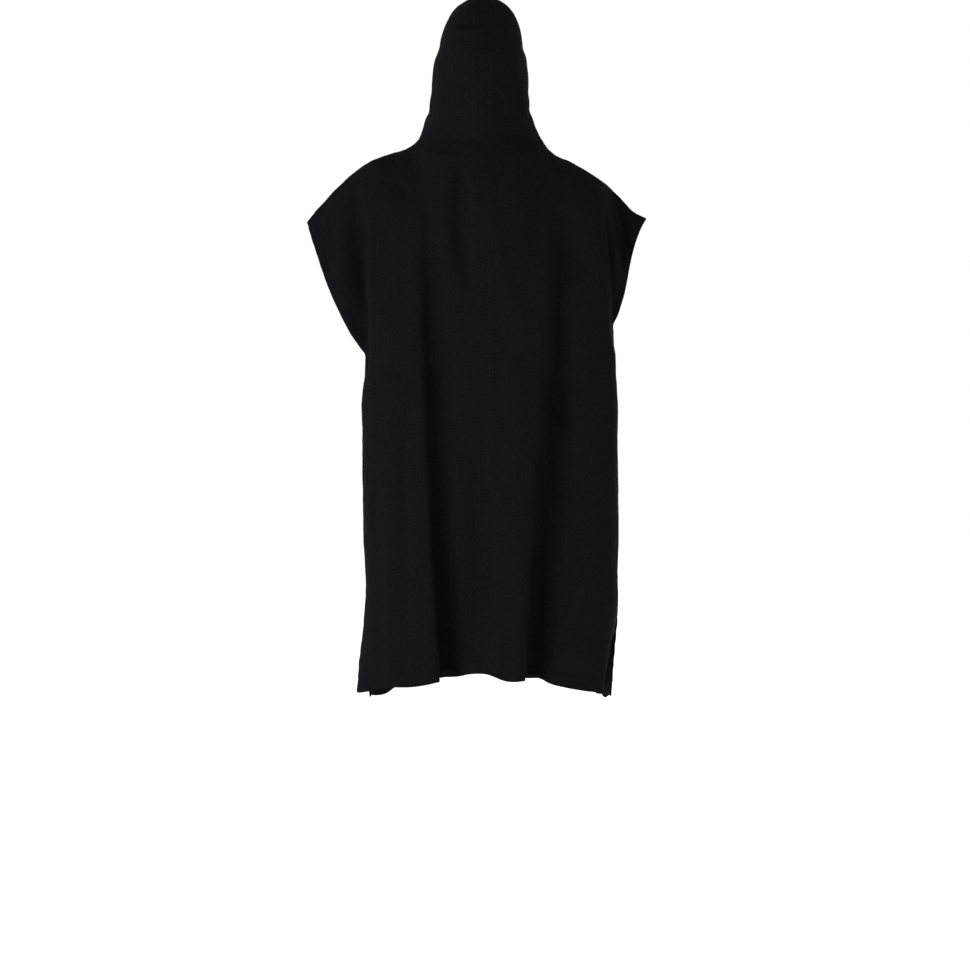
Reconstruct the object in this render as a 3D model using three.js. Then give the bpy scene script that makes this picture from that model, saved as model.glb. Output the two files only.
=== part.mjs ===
// A hooded bath poncho of terry cloth, hanging as it does when it is worn, in millimetres.
//
// It is sewn from a back panel, a front panel and the two halves of a hood, each a thin wall
// of cloth. +Z is up, the garment faces -Y, and +X is the wearer's left. The origin lies on
// the neck's axis, at the height where the garment rests on the shoulders.

import * as THREE from "three";

// Cloth and seams
const CLOTH = 2.5; // thickness of the terry
const SEAM_GAP = 0.3; // between two pieces that are sewn to each other

// Flat cut of the front and of the back panel
const HALF_PANEL = 390; // centre to sleeve edge
const HALF_NECK = 120; // centre to the end of the shoulder seam

// Neckline as worn: how far it lies from the neck's axis, and its height there
const NECK = { left: 118, right: 114, back: 102, front: 96, sideZ: 15, backZ: -2, frontZ: -52 };

// Shoulder seam, from the neckline (share 0) to the sleeve's tip (share 1)
const SHOULDER = [
  { at: "neck point", share: 0.0, leftX: 118, leftZ: 15, rightX: -114, rightZ: 15, y: 0 },
  { at: "neck slope", share: 0.12, leftX: 136, leftZ: -2, rightX: -131, rightZ: -8, y: 0 },
  { at: "mid slope", share: 0.28, leftX: 183, leftZ: -19, rightX: -171, rightZ: -29, y: 0 },
  { at: "shoulder bone", share: 0.45, leftX: 223, leftZ: -37, rightX: -209, rightZ: -52, y: 0 },
  { at: "upper arm", share: 0.6, leftX: 257, leftZ: -64, rightX: -240, rightZ: -73, y: -3 },
  { at: "sleeve", share: 0.78, leftX: 291, leftZ: -95, rightX: -273, rightZ: -105, y: -6 },
  { at: "sleeve hollow", share: 0.88, leftX: 310, leftZ: -118, rightX: -288, rightZ: -122, y: -8 },
  { at: "sleeve tip", share: 1.0, leftX: 331, leftZ: -142, rightX: -314, rightZ: -136, y: -10 },
];

// Handles of the threads that run from the shoulder down to the underarm, by flat place s:
// the upper handle leads out, away from the body and down, the lower one out, away and up.
const BACK_THREADS = [
  { at: "right sleeve edge", s: -390, out: -38, away: 64, drop: 54, footOut: 27, footAway: 60, footUp: 44 },
  { at: "right sleeve", s: -310, out: -6, away: 66, drop: 34, footOut: 16, footAway: 22, footUp: 120 },
  { at: "right shoulder bone", s: -235, out: 2, away: 76, drop: 10, footOut: 3, footAway: 8, footUp: 160 },
  { at: "right neck point", s: -120, out: 6, away: 62, drop: 26, footOut: 0, footAway: 6, footUp: 180 },
  { at: "centre", s: 0, out: 0, away: 18, drop: 46, footOut: 0, footAway: 5, footUp: 190 },
  { at: "left neck point", s: 120, out: 6, away: 62, drop: 26, footOut: 0, footAway: 6, footUp: 180 },
  { at: "left shoulder bone", s: 235, out: 2, away: 76, drop: 10, footOut: 3, footAway: 8, footUp: 160 },
  { at: "left sleeve", s: 310, out: -4, away: 66, drop: 36, footOut: 20, footAway: 22, footUp: 130 },
  { at: "left sleeve edge", s: 390, out: -24, away: 64, drop: 72, footOut: 60, footAway: 60, footUp: 84 },
];
const FRONT_THREADS = [
  { at: "right sleeve edge", s: -390, out: -40, away: 58, drop: 58, footOut: 25, footAway: 56, footUp: 46 },
  { at: "right sleeve", s: -310, out: -4, away: 58, drop: 40, footOut: 14, footAway: 20, footUp: 120 },
  { at: "right shoulder bone", s: -235, out: 2, away: 68, drop: 14, footOut: 6, footAway: 12, footUp: 160 },
  { at: "right neck point", s: -120, out: 6, away: 56, drop: 30, footOut: 0, footAway: 8, footUp: 170 },
  { at: "centre", s: 0, out: 0, away: 20, drop: 40, footOut: 0, footAway: 8, footUp: 130 },
  { at: "left neck point", s: 120, out: 6, away: 56, drop: 30, footOut: 0, footAway: 8, footUp: 170 },
  { at: "left shoulder bone", s: 235, out: 2, away: 68, drop: 14, footOut: 6, footAway: 12, footUp: 160 },
  { at: "left sleeve", s: 310, out: -4, away: 58, drop: 40, footOut: 18, footAway: 20, footUp: 130 },
  { at: "left sleeve edge", s: 390, out: -26, away: 58, drop: 74, footOut: 60, footAway: 56, footUp: 84 },
];

// Rings of the body below the sleeves. The tucks are where the arms press the side seams in.
const RINGS = [
  { at: "underarm", down: 1.0, left: 232, right: 260, back: 128, front: 134, leftTuck: 12, rightTuck: 10,
    leftZ: -395, rightZ: -340, backZ: -342, frontZ: -346 },
  { at: "waist", down: 1.35, left: 231, right: 263, back: 124, front: 138, leftTuck: 8, rightTuck: 7,
    leftZ: -600, rightZ: -570, backZ: -560, frontZ: -566 },
  { at: "hip", down: 1.7, left: 220, right: 261, back: 124, front: 142, leftTuck: 2, rightTuck: 2,
    leftZ: -836, rightZ: -856, backZ: -800, frontZ: -806 },
  { at: "hem", down: 2.0, left: 217, right: 252, back: 128, front: 146, leftTuck: 0, rightTuck: 0,
    leftZ: -1034, rightZ: -1035, backZ: -990, frontZ: -1004 },
];
const RING_SQUARE = 2.6; // exponent of the rings' superellipse
const TUCK_HALF = 52; // half the height of a tuck, front to back

// Side vents: where they start, and how far each panel's corner swings out and away at the hem
const VENT_START = 1.7;
const VENT_REACH = 130; // how far into the panel the corner's swing is felt
const VENTS = {
  back: { leftOut: 13, leftAway: 16, leftDrop: 0, rightOut: -26, rightAway: 20, rightDrop: 0 },
  front: { leftOut: -8, leftAway: 14, leftDrop: 12, rightOut: -8, rightAway: 10, rightDrop: 16 },
};

// Where the hem sags between two folds: by how much, and over what half width
const SAGS = {
  back: [{ at: "middle pipe", x: -50, half: 34, drop: 12 }],
  front: [
    { at: "left of the centre", x: 46, half: 40, drop: 8 },
    { at: "right of the centre", x: -84, half: 36, drop: 10 },
  ],
};
const SAG_START = 1.6;

// Folds: each sinks into the cloth along a line from (topX, topZ) to (footX, footZ). Its left
// side is the one towards +X. mid and foot are its depth half-way down and at its foot.
const BACK_FOLDS = [
  { at: "left pipe", topX: 99, topZ: -190, footX: 52, footZ: -1010, left: 40, right: 92, mid: 26, foot: 52 },
  { at: "right pipe", topX: -166, topZ: -120, footX: -122, footZ: -1010, left: 38, right: 96, mid: 27, foot: 48 },
  { at: "neck crease", topX: 44, topZ: -30, footX: 36, footZ: -270, left: 30, right: 26, mid: 10, foot: 0 },
  { at: "left sleeve valley", topX: 236, topZ: -70, footX: 232, footZ: -392, left: 50, right: 26, mid: 38, foot: 34 },
  { at: "right sleeve valley", topX: -238, topZ: -90, footX: -262, footZ: -345, left: 24, right: 34, mid: 28, foot: 24 },
  { at: "right sleeve crease", topX: -246, topZ: -76, footX: -286, footZ: -240, left: 24, right: 28, mid: 16, foot: 8 },
];
const FRONT_FOLDS = [
  { at: "left pipe", topX: 134, topZ: -150, footX: 112, footZ: -1020, left: 90, right: 36, mid: 24, foot: 46 },
  { at: "centre pipe", topX: -10, topZ: -330, footX: -24, footZ: -1020, left: 70, right: 60, mid: 12, foot: 30 },
  { at: "right pipe", topX: -142, topZ: -170, footX: -146, footZ: -1020, left: 40, right: 84, mid: 20, foot: 42 },
  { at: "left sleeve valley", topX: 224, topZ: -80, footX: 224, footZ: -392, left: 44, right: 28, mid: 26, foot: 26 },
  { at: "right sleeve valley", topX: -232, topZ: -80, footX: -248, footZ: -345, left: 28, right: 40, mid: 26, foot: 22 },
];
const FOLD_FADE = 60; // how far above its top and below its foot a fold runs out

// Rows of the hood, from the neck seam to the seam over the crown: half widths, how far back
// and forward it reaches, the heights at its side, back seam and face edge, the turn round the
// neck's axis at which the face edge lies, and how far the back seam leans to the left
const HOOD = [
  { at: "neck seam", up: 0.0, left: NECK.left, right: NECK.right, back: NECK.back, face: NECK.front,
    sideZ: NECK.sideZ, backZ: NECK.backZ, faceZ: NECK.frontZ, faceTurn: 90, seamX: 0 },
  { at: "collar", up: 0.25, left: 107, right: 100, back: 105, face: 114,
    sideZ: 44, backZ: 40, faceZ: -4, faceTurn: 66, seamX: 3 },
  { at: "jaw", up: 0.62, left: 98, right: 93, back: 109, face: 118,
    sideZ: 92, backZ: 98, faceZ: 66, faceTurn: 44, seamX: 6 },
  { at: "cheek", up: 1.0, left: 91, right: 88, back: 112, face: 115,
    sideZ: 146, backZ: 152, faceZ: 126, faceTurn: 31, seamX: 8 },
  { at: "temple", up: 1.32, left: 77, right: 78, back: 107, face: 113,
    sideZ: 200, backZ: 200, faceZ: 176, faceTurn: 30, seamX: 8 },
  { at: "brow", up: 1.52, left: 65, right: 70, back: 97, face: 111,
    sideZ: 236, backZ: 230, faceZ: 212, faceTurn: 31, seamX: 7 },
  { at: "crown side", up: 1.72, left: 44, right: 50, back: 82, face: 109,
    sideZ: 264, backZ: 252, faceZ: 238, faceTurn: 34, seamX: 4 },
  { at: "crown", up: 1.87, left: 20, right: 24, back: 70, face: 107,
    sideZ: 279, backZ: 263, faceZ: 250, faceTurn: 38, seamX: 2 },
  { at: "crown seam", up: 2.0, left: 0, right: 0, back: 58, face: 106,
    sideZ: 286, backZ: 270, faceZ: 256, faceTurn: 40, seamX: 0 },
];
const HOOD_KEEL = { height: 4, reach: 24 }; // the centre seam stands a little proud
// Short crease that lies across the back of the crown
const CROWN_CREASE = { x: 10, z: 230, halfWidth: 34, halfHeight: 12, depth: 6 };

// Divisions of the cloth
const NECK_COLUMNS = 8; // in a quarter of the neckline
const SLEEVE_COLUMNS = 18; // along a shoulder seam
const YOKE_ROWS = 13; // shoulder to underarm
const SKIRT_ROWS = 10; // underarm to hem
const HOOD_ROWS = 16; // neck seam to crown
const PANEL_PASSES = 2; // of easing

const mix = THREE.MathUtils.lerp;
const clamp = THREE.MathUtils.clamp;
const ease = (t) => THREE.MathUtils.smoothstep(t, 0, 1);

// The value of a table's column between its rows, on a smooth curve through them.
function read(rows, key, column, at) {
  const last = rows.length - 1;
  let i = 0;
  while (i < last - 1 && at > rows[i + 1][key]) i++;
  const [a, b] = [rows[i], rows[i + 1]];
  const span = b[key] - a[key];
  const slope = (k) => {
    const low = rows[Math.max(k - 1, 0)];
    const high = rows[Math.min(k + 1, last)];
    return ((high[column] - low[column]) / (high[key] - low[key])) * span;
  };
  const t = clamp((at - a[key]) / span, 0, 1);
  const t2 = t * t;
  const t3 = t2 * t;
  return (
    (2 * t3 - 3 * t2 + 1) * a[column] +
    (t3 - 2 * t2 + t) * slope(i) +
    (3 * t2 - 2 * t3) * b[column] +
    (t3 - t2) * slope(i + 1)
  );
}

// A point of the neckline. The turn is 0 at the wearer's left and 90 degrees at the back.
function necklinePoint(turn) {
  const [c, s] = [Math.cos(turn), Math.sin(turn)];
  return new THREE.Vector3(
    c * (c > 0 ? NECK.left : NECK.right),
    s * (s > 0 ? NECK.back : NECK.front),
    mix(NECK.sideZ, s > 0 ? NECK.backZ : NECK.frontZ, s * s),
  );
}

// The top edge of a panel at flat place s: the neckline, and the shoulder seams beside it.
function topPoint(facing, s) {
  const beyond = Math.abs(s) - HALF_NECK;
  if (beyond <= 0) {
    const quarter = (s / HALF_NECK) * (Math.PI / 2);
    return necklinePoint(facing * (Math.PI / 2 - quarter));
  }
  const share = beyond / (HALF_PANEL - HALF_NECK);
  const hand = s > 0 ? "left" : "right";
  return new THREE.Vector3(
    read(SHOULDER, "share", hand + "X", share),
    read(SHOULDER, "share", "y", share),
    read(SHOULDER, "share", hand + "Z", share),
  );
}

// The outline of the body's ring, before folds. The turn is from -90 degrees at the wearer's
// right, through 0 at the middle of the panel, to 90 degrees at the left.
function ringPoint(facing, down, turn) {
  const ring = (column) => read(RINGS, "down", column, down);
  const [c, s] = [Math.cos(turn), Math.sin(turn)];
  const [left, right] = [ring("left"), ring("right")];
  const half = (left + right) / 2;
  const deep = ring(facing > 0 ? "back" : "front");
  const radius = Math.pow(
    Math.pow(Math.abs(s) / half, RING_SQUARE) + Math.pow(Math.abs(c) / deep, RING_SQUARE),
    -1 / RING_SQUARE,
  );
  const y = radius * c;
  const tuck = ring(s > 0 ? "leftTuck" : "rightTuck") * Math.exp(-((y / TUCK_HALF) ** 2)) * Math.abs(s) ** 3;
  const centreZ = ring(facing > 0 ? "backZ" : "frontZ");
  const sideZ = ring(s > 0 ? "leftZ" : "rightZ");
  return new THREE.Vector3(
    (left - right) / 2 + radius * s - Math.sign(s) * tuck,
    facing * y,
    mix(centreZ, sideZ, s * s),
  );
}

// Turns at even steps of length round a panel's half of the ring.
const ringTurns = new Map();
const RING_STEPS = 240;
function evenTurn(facing, down, share) {
  const key = facing + ":" + down;
  if (!ringTurns.has(key)) {
    const lengths = [0];
    let before = ringPoint(facing, down, -Math.PI / 2);
    for (let i = 1; i <= RING_STEPS; i++) {
      const point = ringPoint(facing, down, Math.PI * (i / RING_STEPS - 0.5));
      lengths.push(lengths[i - 1] + point.distanceTo(before));
      before = point;
    }
    ringTurns.set(key, lengths);
  }
  const place = placeIn(ringTurns.get(key), share);
  return Math.PI * (place / RING_STEPS - 0.5);
}

// Where a share of the last value lies among rising values, as an index with a fraction.
function placeIn(values, share) {
  const target = share * values[values.length - 1];
  let [low, high] = [0, values.length - 1];
  while (high - low > 1) {
    const middle = (low + high) >> 1;
    if (values[middle] <= target) low = middle;
    else high = middle;
  }
  return low + (target - values[low]) / (values[high] - values[low]);
}

// A panel without its folds. down is 0 at the shoulder, 1 at the underarm and 2 at the hem.
function smoothPoint(panel, s, down) {
  const { facing, threads } = panel;
  const share = (s / HALF_PANEL + 1) / 2;
  if (down >= 1) return ringPoint(facing, down, evenTurn(facing, down, share));
  const side = Math.sign(s);
  const top = topPoint(facing, s);
  const foot = ringPoint(facing, 1, evenTurn(facing, 1, share));
  const thread = (column) => read(threads, "s", column, s);
  const upper = new THREE.Vector3(side * thread("out"), facing * thread("away"), -thread("drop")).add(top);
  const lower = new THREE.Vector3(side * thread("footOut"), facing * thread("footAway"), thread("footUp")).add(foot);
  return new THREE.CubicBezierCurve3(top, upper, lower, foot).getPoint(down);
}

// How far the folds sink the cloth at a point.
function foldDepth(folds, point) {
  let depth = 0;
  for (const fold of folds) {
    const share = (fold.topZ - point.z) / (fold.topZ - fold.footZ);
    const across = point.x - mix(fold.topX, fold.footX, share);
    const reach = Math.abs(across) / (across > 0 ? fold.left : fold.right);
    if (reach >= 1 || share <= 0) continue;
    const past = (Math.max(share - 1, 0) * (fold.topZ - fold.footZ)) / FOLD_FADE;
    const along = clamp(share, 0, 1);
    // A curve through 0 at the top, mid half-way down and foot at the foot
    const sink = along * (4 * fold.mid * (1 - along) + fold.foot * (2 * along - 1));
    depth += Math.max(sink, 0) * (1 - ease(reach)) * (1 - ease(past));
  }
  return depth;
}

// How far the hem sags at a point.
function sagDepth(sags, x, down) {
  const shown = ease((down - SAG_START) / (2 - SAG_START));
  return sags.reduce((sum, sag) => sum + sag.drop * shown * Math.exp(-(((x - sag.x) / sag.half) ** 2)), 0);
}

// The swing of a panel's lower corners beside the side vents.
function ventSwing(panel, s, down) {
  const opened = ease((down - VENT_START) / (2 - VENT_START));
  const inside = HALF_PANEL - Math.abs(s);
  const felt = opened * (1 - ease(inside / VENT_REACH));
  const hand = s > 0 ? "left" : "right";
  const side = Math.sign(s);
  return new THREE.Vector3(
    side * panel.vents[hand + "Out"] * felt,
    panel.facing * panel.vents[hand + "Away"] * felt,
    -panel.vents[hand + "Drop"] * felt,
  );
}

// The normal of a surface at a point, by the points just beside it, facing outwards.
const NEAR_S = 1.5;
const NEAR_DOWN = 0.004;
function panelNormal(panel, s, down) {
  const sOut = smoothPoint(panel, Math.min(s + NEAR_S, HALF_PANEL), down);
  const sIn = smoothPoint(panel, Math.max(s - NEAR_S, -HALF_PANEL), down);
  const low = smoothPoint(panel, s, Math.min(down + NEAR_DOWN, 2));
  const high = smoothPoint(panel, s, Math.max(down - NEAR_DOWN, 0));
  return sOut.sub(sIn).cross(high.sub(low)).normalize().multiplyScalar(-panel.facing);
}

// The seams hold the cloth beside them in place: how far, across and down.
const SIDE_HOLD = 26;
const TOP_HOLD = 0.16;

// A panel with its folds, by flat place.
function foldedPoint(panel, s, down) {
  const point = smoothPoint(panel, s, down);
  const depth = foldDepth(panel.folds, point);
  const held = ease((HALF_PANEL - Math.abs(s)) / SIDE_HOLD) * ease(down / TOP_HOLD);
  return point.addScaledVector(panelNormal(panel, s, down), -depth * held);
}

// The flat places to sample on a row, so that the folded cloth has its own length between
// them. Near the shoulder they go over to the places of the seam above.
const ROW_STEPS = 300;
function rowPlaces(panel, flatPlaces, down) {
  const lengths = [0];
  let before = foldedPoint(panel, -HALF_PANEL, down);
  for (let i = 1; i <= ROW_STEPS; i++) {
    const point = foldedPoint(panel, HALF_PANEL * ((2 * i) / ROW_STEPS - 1), down);
    lengths.push(lengths[i - 1] + point.distanceTo(before));
    before = point;
  }
  return flatPlaces.map((s) => {
    const place = placeIn(lengths, (s / HALF_PANEL + 1) / 2);
    const even = HALF_PANEL * ((2 * place) / ROW_STEPS - 1);
    return Math.abs(s) === HALF_PANEL ? s : mix(s, even, ease(down));
  });
}

// The flat places of a panel's columns, closer together over the sleeves.
function panelColumns() {
  const half = [];
  for (let i = 1; i <= NECK_COLUMNS; i++) half.push((HALF_NECK * i) / NECK_COLUMNS);
  for (let i = 1; i <= SLEEVE_COLUMNS; i++) {
    const share = i / SLEEVE_COLUMNS;
    half.push(mix(HALF_NECK, HALF_PANEL, mix(share, Math.sqrt(share), 0.35)));
  }
  return [...half.map((s) => -s).reverse(), 0, ...half];
}

function panelRows() {
  const rows = [];
  for (let j = 0; j < YOKE_ROWS; j++) rows.push(Math.pow(j / YOKE_ROWS, 1.1));
  for (let j = 0; j <= SKIRT_ROWS; j++) rows.push(1 + j / SKIRT_ROWS);
  return rows;
}

// A panel's points, row by row from the top. On the front the columns run the other way, so
// that the grid's normals point outwards on both.
function panelGrid(panel) {
  const columns = panelColumns();
  return panelRows().map((down) => {
    const places = rowPlaces(panel, columns, down);
    const row = places.map((s) => {
      const point = foldedPoint(panel, s, down).add(ventSwing(panel, s, down));
      point.z -= sagDepth(panel.sags, point.x, down);
      return point;
    });
    return panel.facing > 0 ? row : row.reverse();
  });
}

// Cloth has no sharp bends: each point inside a grid eases towards the mean of its neighbours.
function relax(grid, passes) {
  for (let pass = 0; pass < passes; pass++) {
    const before = grid.map((row) => row.map((point) => point.clone()));
    for (let j = 1; j < grid.length - 1; j++) {
      for (let i = 1; i < grid[j].length - 1; i++) {
        const beside = [before[j - 1][i], before[j + 1][i], before[j][i - 1], before[j][i + 1]];
        const mean = beside.reduce((sum, point) => sum.add(point), new THREE.Vector3()).divideScalar(4);
        grid[j][i].lerp(mean, 0.5);
      }
    }
  }
  return grid;
}

// A point of the hood's left (side 1) or right (side -1) half. up is 0 at the neck seam and 2
// at the crown seam; turn is 0 at the back seam, 1 at the side and 2 at the face edge.
function hoodPoint(side, up, turn) {
  const row = (column) => read(HOOD, "up", column, up);
  const width = row(side > 0 ? "left" : "right");
  const toEnd = Math.sin((Math.abs(turn - 1) * Math.PI) / 2) ** 2;
  if (turn > 1) {
    const faceTurn = THREE.MathUtils.degToRad(row("faceTurn"));
    const angle = (turn - 1) * faceTurn;
    const y = -row("face") * (Math.sin(angle) / Math.sin(faceTurn));
    return new THREE.Vector3(side * width * Math.cos(angle), y, mix(row("sideZ"), row("faceZ"), toEnd));
  }
  const angle = ((1 - turn) * Math.PI) / 2;
  const off = width * Math.cos(angle);
  const point = new THREE.Vector3(
    side * off + row("seamX") * toEnd,
    row("back") * Math.sin(angle),
    mix(row("sideZ"), row("backZ"), toEnd),
  );
  point.y += hoodKeel(off, up) - crownCrease(point) * toEnd;
  return point;
}

// The ridge of the centre seam down the back of the hood, by distance from the seam.
function hoodKeel(off, up) {
  const shown = ease(up / 0.5) * ease((2 - up) / 0.5);
  return HOOD_KEEL.height * shown * Math.exp(-((off / HOOD_KEEL.reach) ** 2));
}

function crownCrease(point) {
  const across = (point.x - CROWN_CREASE.x) / CROWN_CREASE.halfWidth;
  const over = (point.z - CROWN_CREASE.z) / CROWN_CREASE.halfHeight;
  return CROWN_CREASE.depth * Math.exp(-across * across - over * over);
}

// A half of the hood, row by row from the crown down. The right half's columns run from the
// face edge to the back seam, so that the normals point outwards on both.
function hoodGrid(side) {
  const grid = [];
  for (let j = HOOD_ROWS; j >= 0; j--) {
    const row = [];
    for (let i = 0; i <= 2 * NECK_COLUMNS; i++) row.push(hoodPoint(side, (2 * j) / HOOD_ROWS, i / NECK_COLUMNS));
    grid.push(side > 0 ? row : row.reverse());
  }
  return grid;
}

// The outward normals of a grid's points, from the points beside them.
function gridNormals(grid) {
  const [low, wide] = [grid.length - 1, grid[0].length - 1];
  const normals = grid.map((row, j) =>
    row.map((_, i) => {
      const across = row[Math.min(i + 1, wide)].clone().sub(row[Math.max(i - 1, 0)]).normalize();
      const down = grid[Math.min(j + 1, low)][i].clone().sub(grid[Math.max(j - 1, 0)][i]).normalize();
      return across.cross(down);
    }),
  );
  // A corner whose two edges run on in one line takes the mean of the normals beside it
  for (const j of [0, low]) {
    for (const i of [0, wide]) {
      if (normals[j][i].length() > STRAIGHT_CORNER) continue;
      normals[j][i] = normals[j][Math.abs(i - 1)].clone().add(normals[Math.abs(j - 1)][i]);
    }
  }
  return normals.map((row) => row.map((normal) => normal.normalize()));
}
const STRAIGHT_CORNER = 0.5; // sine of the angle between a corner's edges

// The points of a piece's border, each with the direction into the piece.
function borderPoints(piece) {
  const { grid } = piece;
  const [low, wide] = [grid.length - 1, grid[0].length - 1];
  const points = [];
  for (let j = 0; j <= low; j++) {
    for (let i = 0; i <= wide; i++) {
      const inner = grid[clamp(j, 1, low - 1)][clamp(i, 1, wide - 1)];
      if (inner === grid[j][i]) continue;
      points.push({ piece, j, i, place: grid[j][i].clone(), inward: inner.clone().sub(grid[j][i]) });
    }
  }
  return points;
}

// Where pieces are sewn together they share the mean of their normals, so that their walls
// meet face to face, and each is set back by half the seam's gap.
function sewPieces(pieces) {
  const borders = pieces.flatMap(borderPoints);
  const touching = 0.01;
  const sewn = borders.map((a) => borders.filter((b) => a.place.distanceTo(b.place) < touching));
  const shared = sewn.map((group) => {
    const sum = new THREE.Vector3();
    for (const { piece, j, i } of group) sum.add(piece.normals[j][i]);
    return sum.normalize();
  });
  borders.forEach(({ piece, j, i, inward }, k) => {
    if (sewn[k].length < 2) return;
    piece.normals[j][i] = shared[k];
    const back = inward.addScaledVector(shared[k], -inward.dot(shared[k])).normalize();
    piece.grid[j][i].addScaledVector(back, SEAM_GAP / 2);
  });
}

// The closed wall of cloth round a grid.
function clothWall({ name, grid, normals }) {
  const [rows, columns] = [grid.length, grid[0].length];
  const positions = [];
  for (const face of [1, -1]) {
    grid.forEach((row, j) =>
      row.forEach((point, i) => {
        positions.push(...point.clone().addScaledVector(normals[j][i], (face * CLOTH) / 2));
      }),
    );
  }
  const inside = rows * columns;
  const index = [];
  const quad = (a, b, c, d) => index.push(a, b, c, a, c, d);
  const at = (j, i) => j * columns + i;
  for (let j = 0; j < rows - 1; j++) {
    for (let i = 0; i < columns - 1; i++) {
      const [a, b, c, d] = [at(j, i), at(j, i + 1), at(j + 1, i + 1), at(j + 1, i)];
      quad(a, b, c, d);
      quad(inside + d, inside + c, inside + b, inside + a);
    }
  }
  // The rims of two sewn pieces are split along the same diagonals
  const rim = (a, b) => {
    if (positions[3 * a] < positions[3 * b]) quad(a, b, inside + b, inside + a);
    else quad(b, inside + b, inside + a, a);
  };
  for (let i = 0; i < columns - 1; i++) {
    rim(at(0, i + 1), at(0, i));
    rim(at(rows - 1, i), at(rows - 1, i + 1));
  }
  for (let j = 0; j < rows - 1; j++) {
    rim(at(j, 0), at(j + 1, 0));
    rim(at(j + 1, columns - 1), at(j, columns - 1));
  }
  const geometry = new THREE.BufferGeometry();
  geometry.setAttribute("position", new THREE.Float32BufferAttribute(positions, 3));
  geometry.setIndex(index);
  geometry.computeVertexNormals();
  const mesh = new THREE.Mesh(geometry, terry);
  mesh.name = name;
  return mesh;
}

const terry = new THREE.MeshStandardMaterial({ name: "black cotton terry", color: 0x16161a, roughness: 1.0 });
const back = { facing: 1, threads: BACK_THREADS, folds: BACK_FOLDS, vents: VENTS.back, sags: SAGS.back };
const front = { facing: -1, threads: FRONT_THREADS, folds: FRONT_FOLDS, vents: VENTS.front, sags: SAGS.front };
const pieces = [
  { name: "back_panel", grid: relax(panelGrid(back), PANEL_PASSES) },
  { name: "front_panel", grid: relax(panelGrid(front), PANEL_PASSES) },
  { name: "hood_left", grid: hoodGrid(1) },
  { name: "hood_right", grid: hoodGrid(-1) },
];
for (const piece of pieces) piece.normals = gridNormals(piece.grid);
sewPieces(pieces);

const poncho = new THREE.Group();
poncho.name = "hooded_bath_poncho";
for (const piece of pieces) poncho.add(clothWall(piece));
export default poncho;
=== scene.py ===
"""A hooded bath poncho of black looped terry, hanging as it does when it is worn.

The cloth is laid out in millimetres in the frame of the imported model: +Z is up, the garment
faces -Y and +X is the wearer's left. Meshes are made in metres at the very end.
"""

import logging
import math
from dataclasses import dataclass, fields
from enum import Enum
from functools import partial
from typing import Callable, Sequence

import bpy
import numpy as np
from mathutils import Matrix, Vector

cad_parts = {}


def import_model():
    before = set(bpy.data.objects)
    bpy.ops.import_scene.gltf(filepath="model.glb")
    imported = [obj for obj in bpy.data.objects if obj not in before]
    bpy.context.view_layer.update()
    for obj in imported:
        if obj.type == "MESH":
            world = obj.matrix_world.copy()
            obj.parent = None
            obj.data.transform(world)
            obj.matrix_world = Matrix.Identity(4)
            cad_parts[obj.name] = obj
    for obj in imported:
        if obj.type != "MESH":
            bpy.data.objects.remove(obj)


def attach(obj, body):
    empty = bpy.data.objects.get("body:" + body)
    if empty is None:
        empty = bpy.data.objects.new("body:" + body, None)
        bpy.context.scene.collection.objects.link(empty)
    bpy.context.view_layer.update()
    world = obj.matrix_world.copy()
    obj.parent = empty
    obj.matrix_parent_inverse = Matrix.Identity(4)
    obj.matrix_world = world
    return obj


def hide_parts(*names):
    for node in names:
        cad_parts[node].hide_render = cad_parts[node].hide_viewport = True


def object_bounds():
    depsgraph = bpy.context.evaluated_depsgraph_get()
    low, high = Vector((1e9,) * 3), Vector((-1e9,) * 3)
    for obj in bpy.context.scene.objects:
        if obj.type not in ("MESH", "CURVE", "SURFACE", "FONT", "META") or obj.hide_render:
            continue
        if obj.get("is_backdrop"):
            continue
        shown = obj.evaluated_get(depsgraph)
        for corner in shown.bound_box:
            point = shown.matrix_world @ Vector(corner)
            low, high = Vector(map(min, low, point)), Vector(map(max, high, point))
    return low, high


log = logging.getLogger("poncho")

MM = 0.001


# Reading short tables


class Side(Enum):
    """Which way a panel faces from the wearer's body."""

    BACK = 1
    FRONT = -1


class Hand(Enum):
    """Which half of the hood a piece is."""

    LEFT = 1
    RIGHT = -1


def ease(t: np.ndarray) -> np.ndarray:
    """Smooth step from 0 to 1 as t goes from 0 to 1."""
    t = np.clip(t, 0.0, 1.0)
    return t * t * (3.0 - 2.0 * t)


def mix(a: np.ndarray, b: np.ndarray, t: np.ndarray) -> np.ndarray:
    """The value a share t of the way from a to b."""
    return a + (b - a) * t


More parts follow.
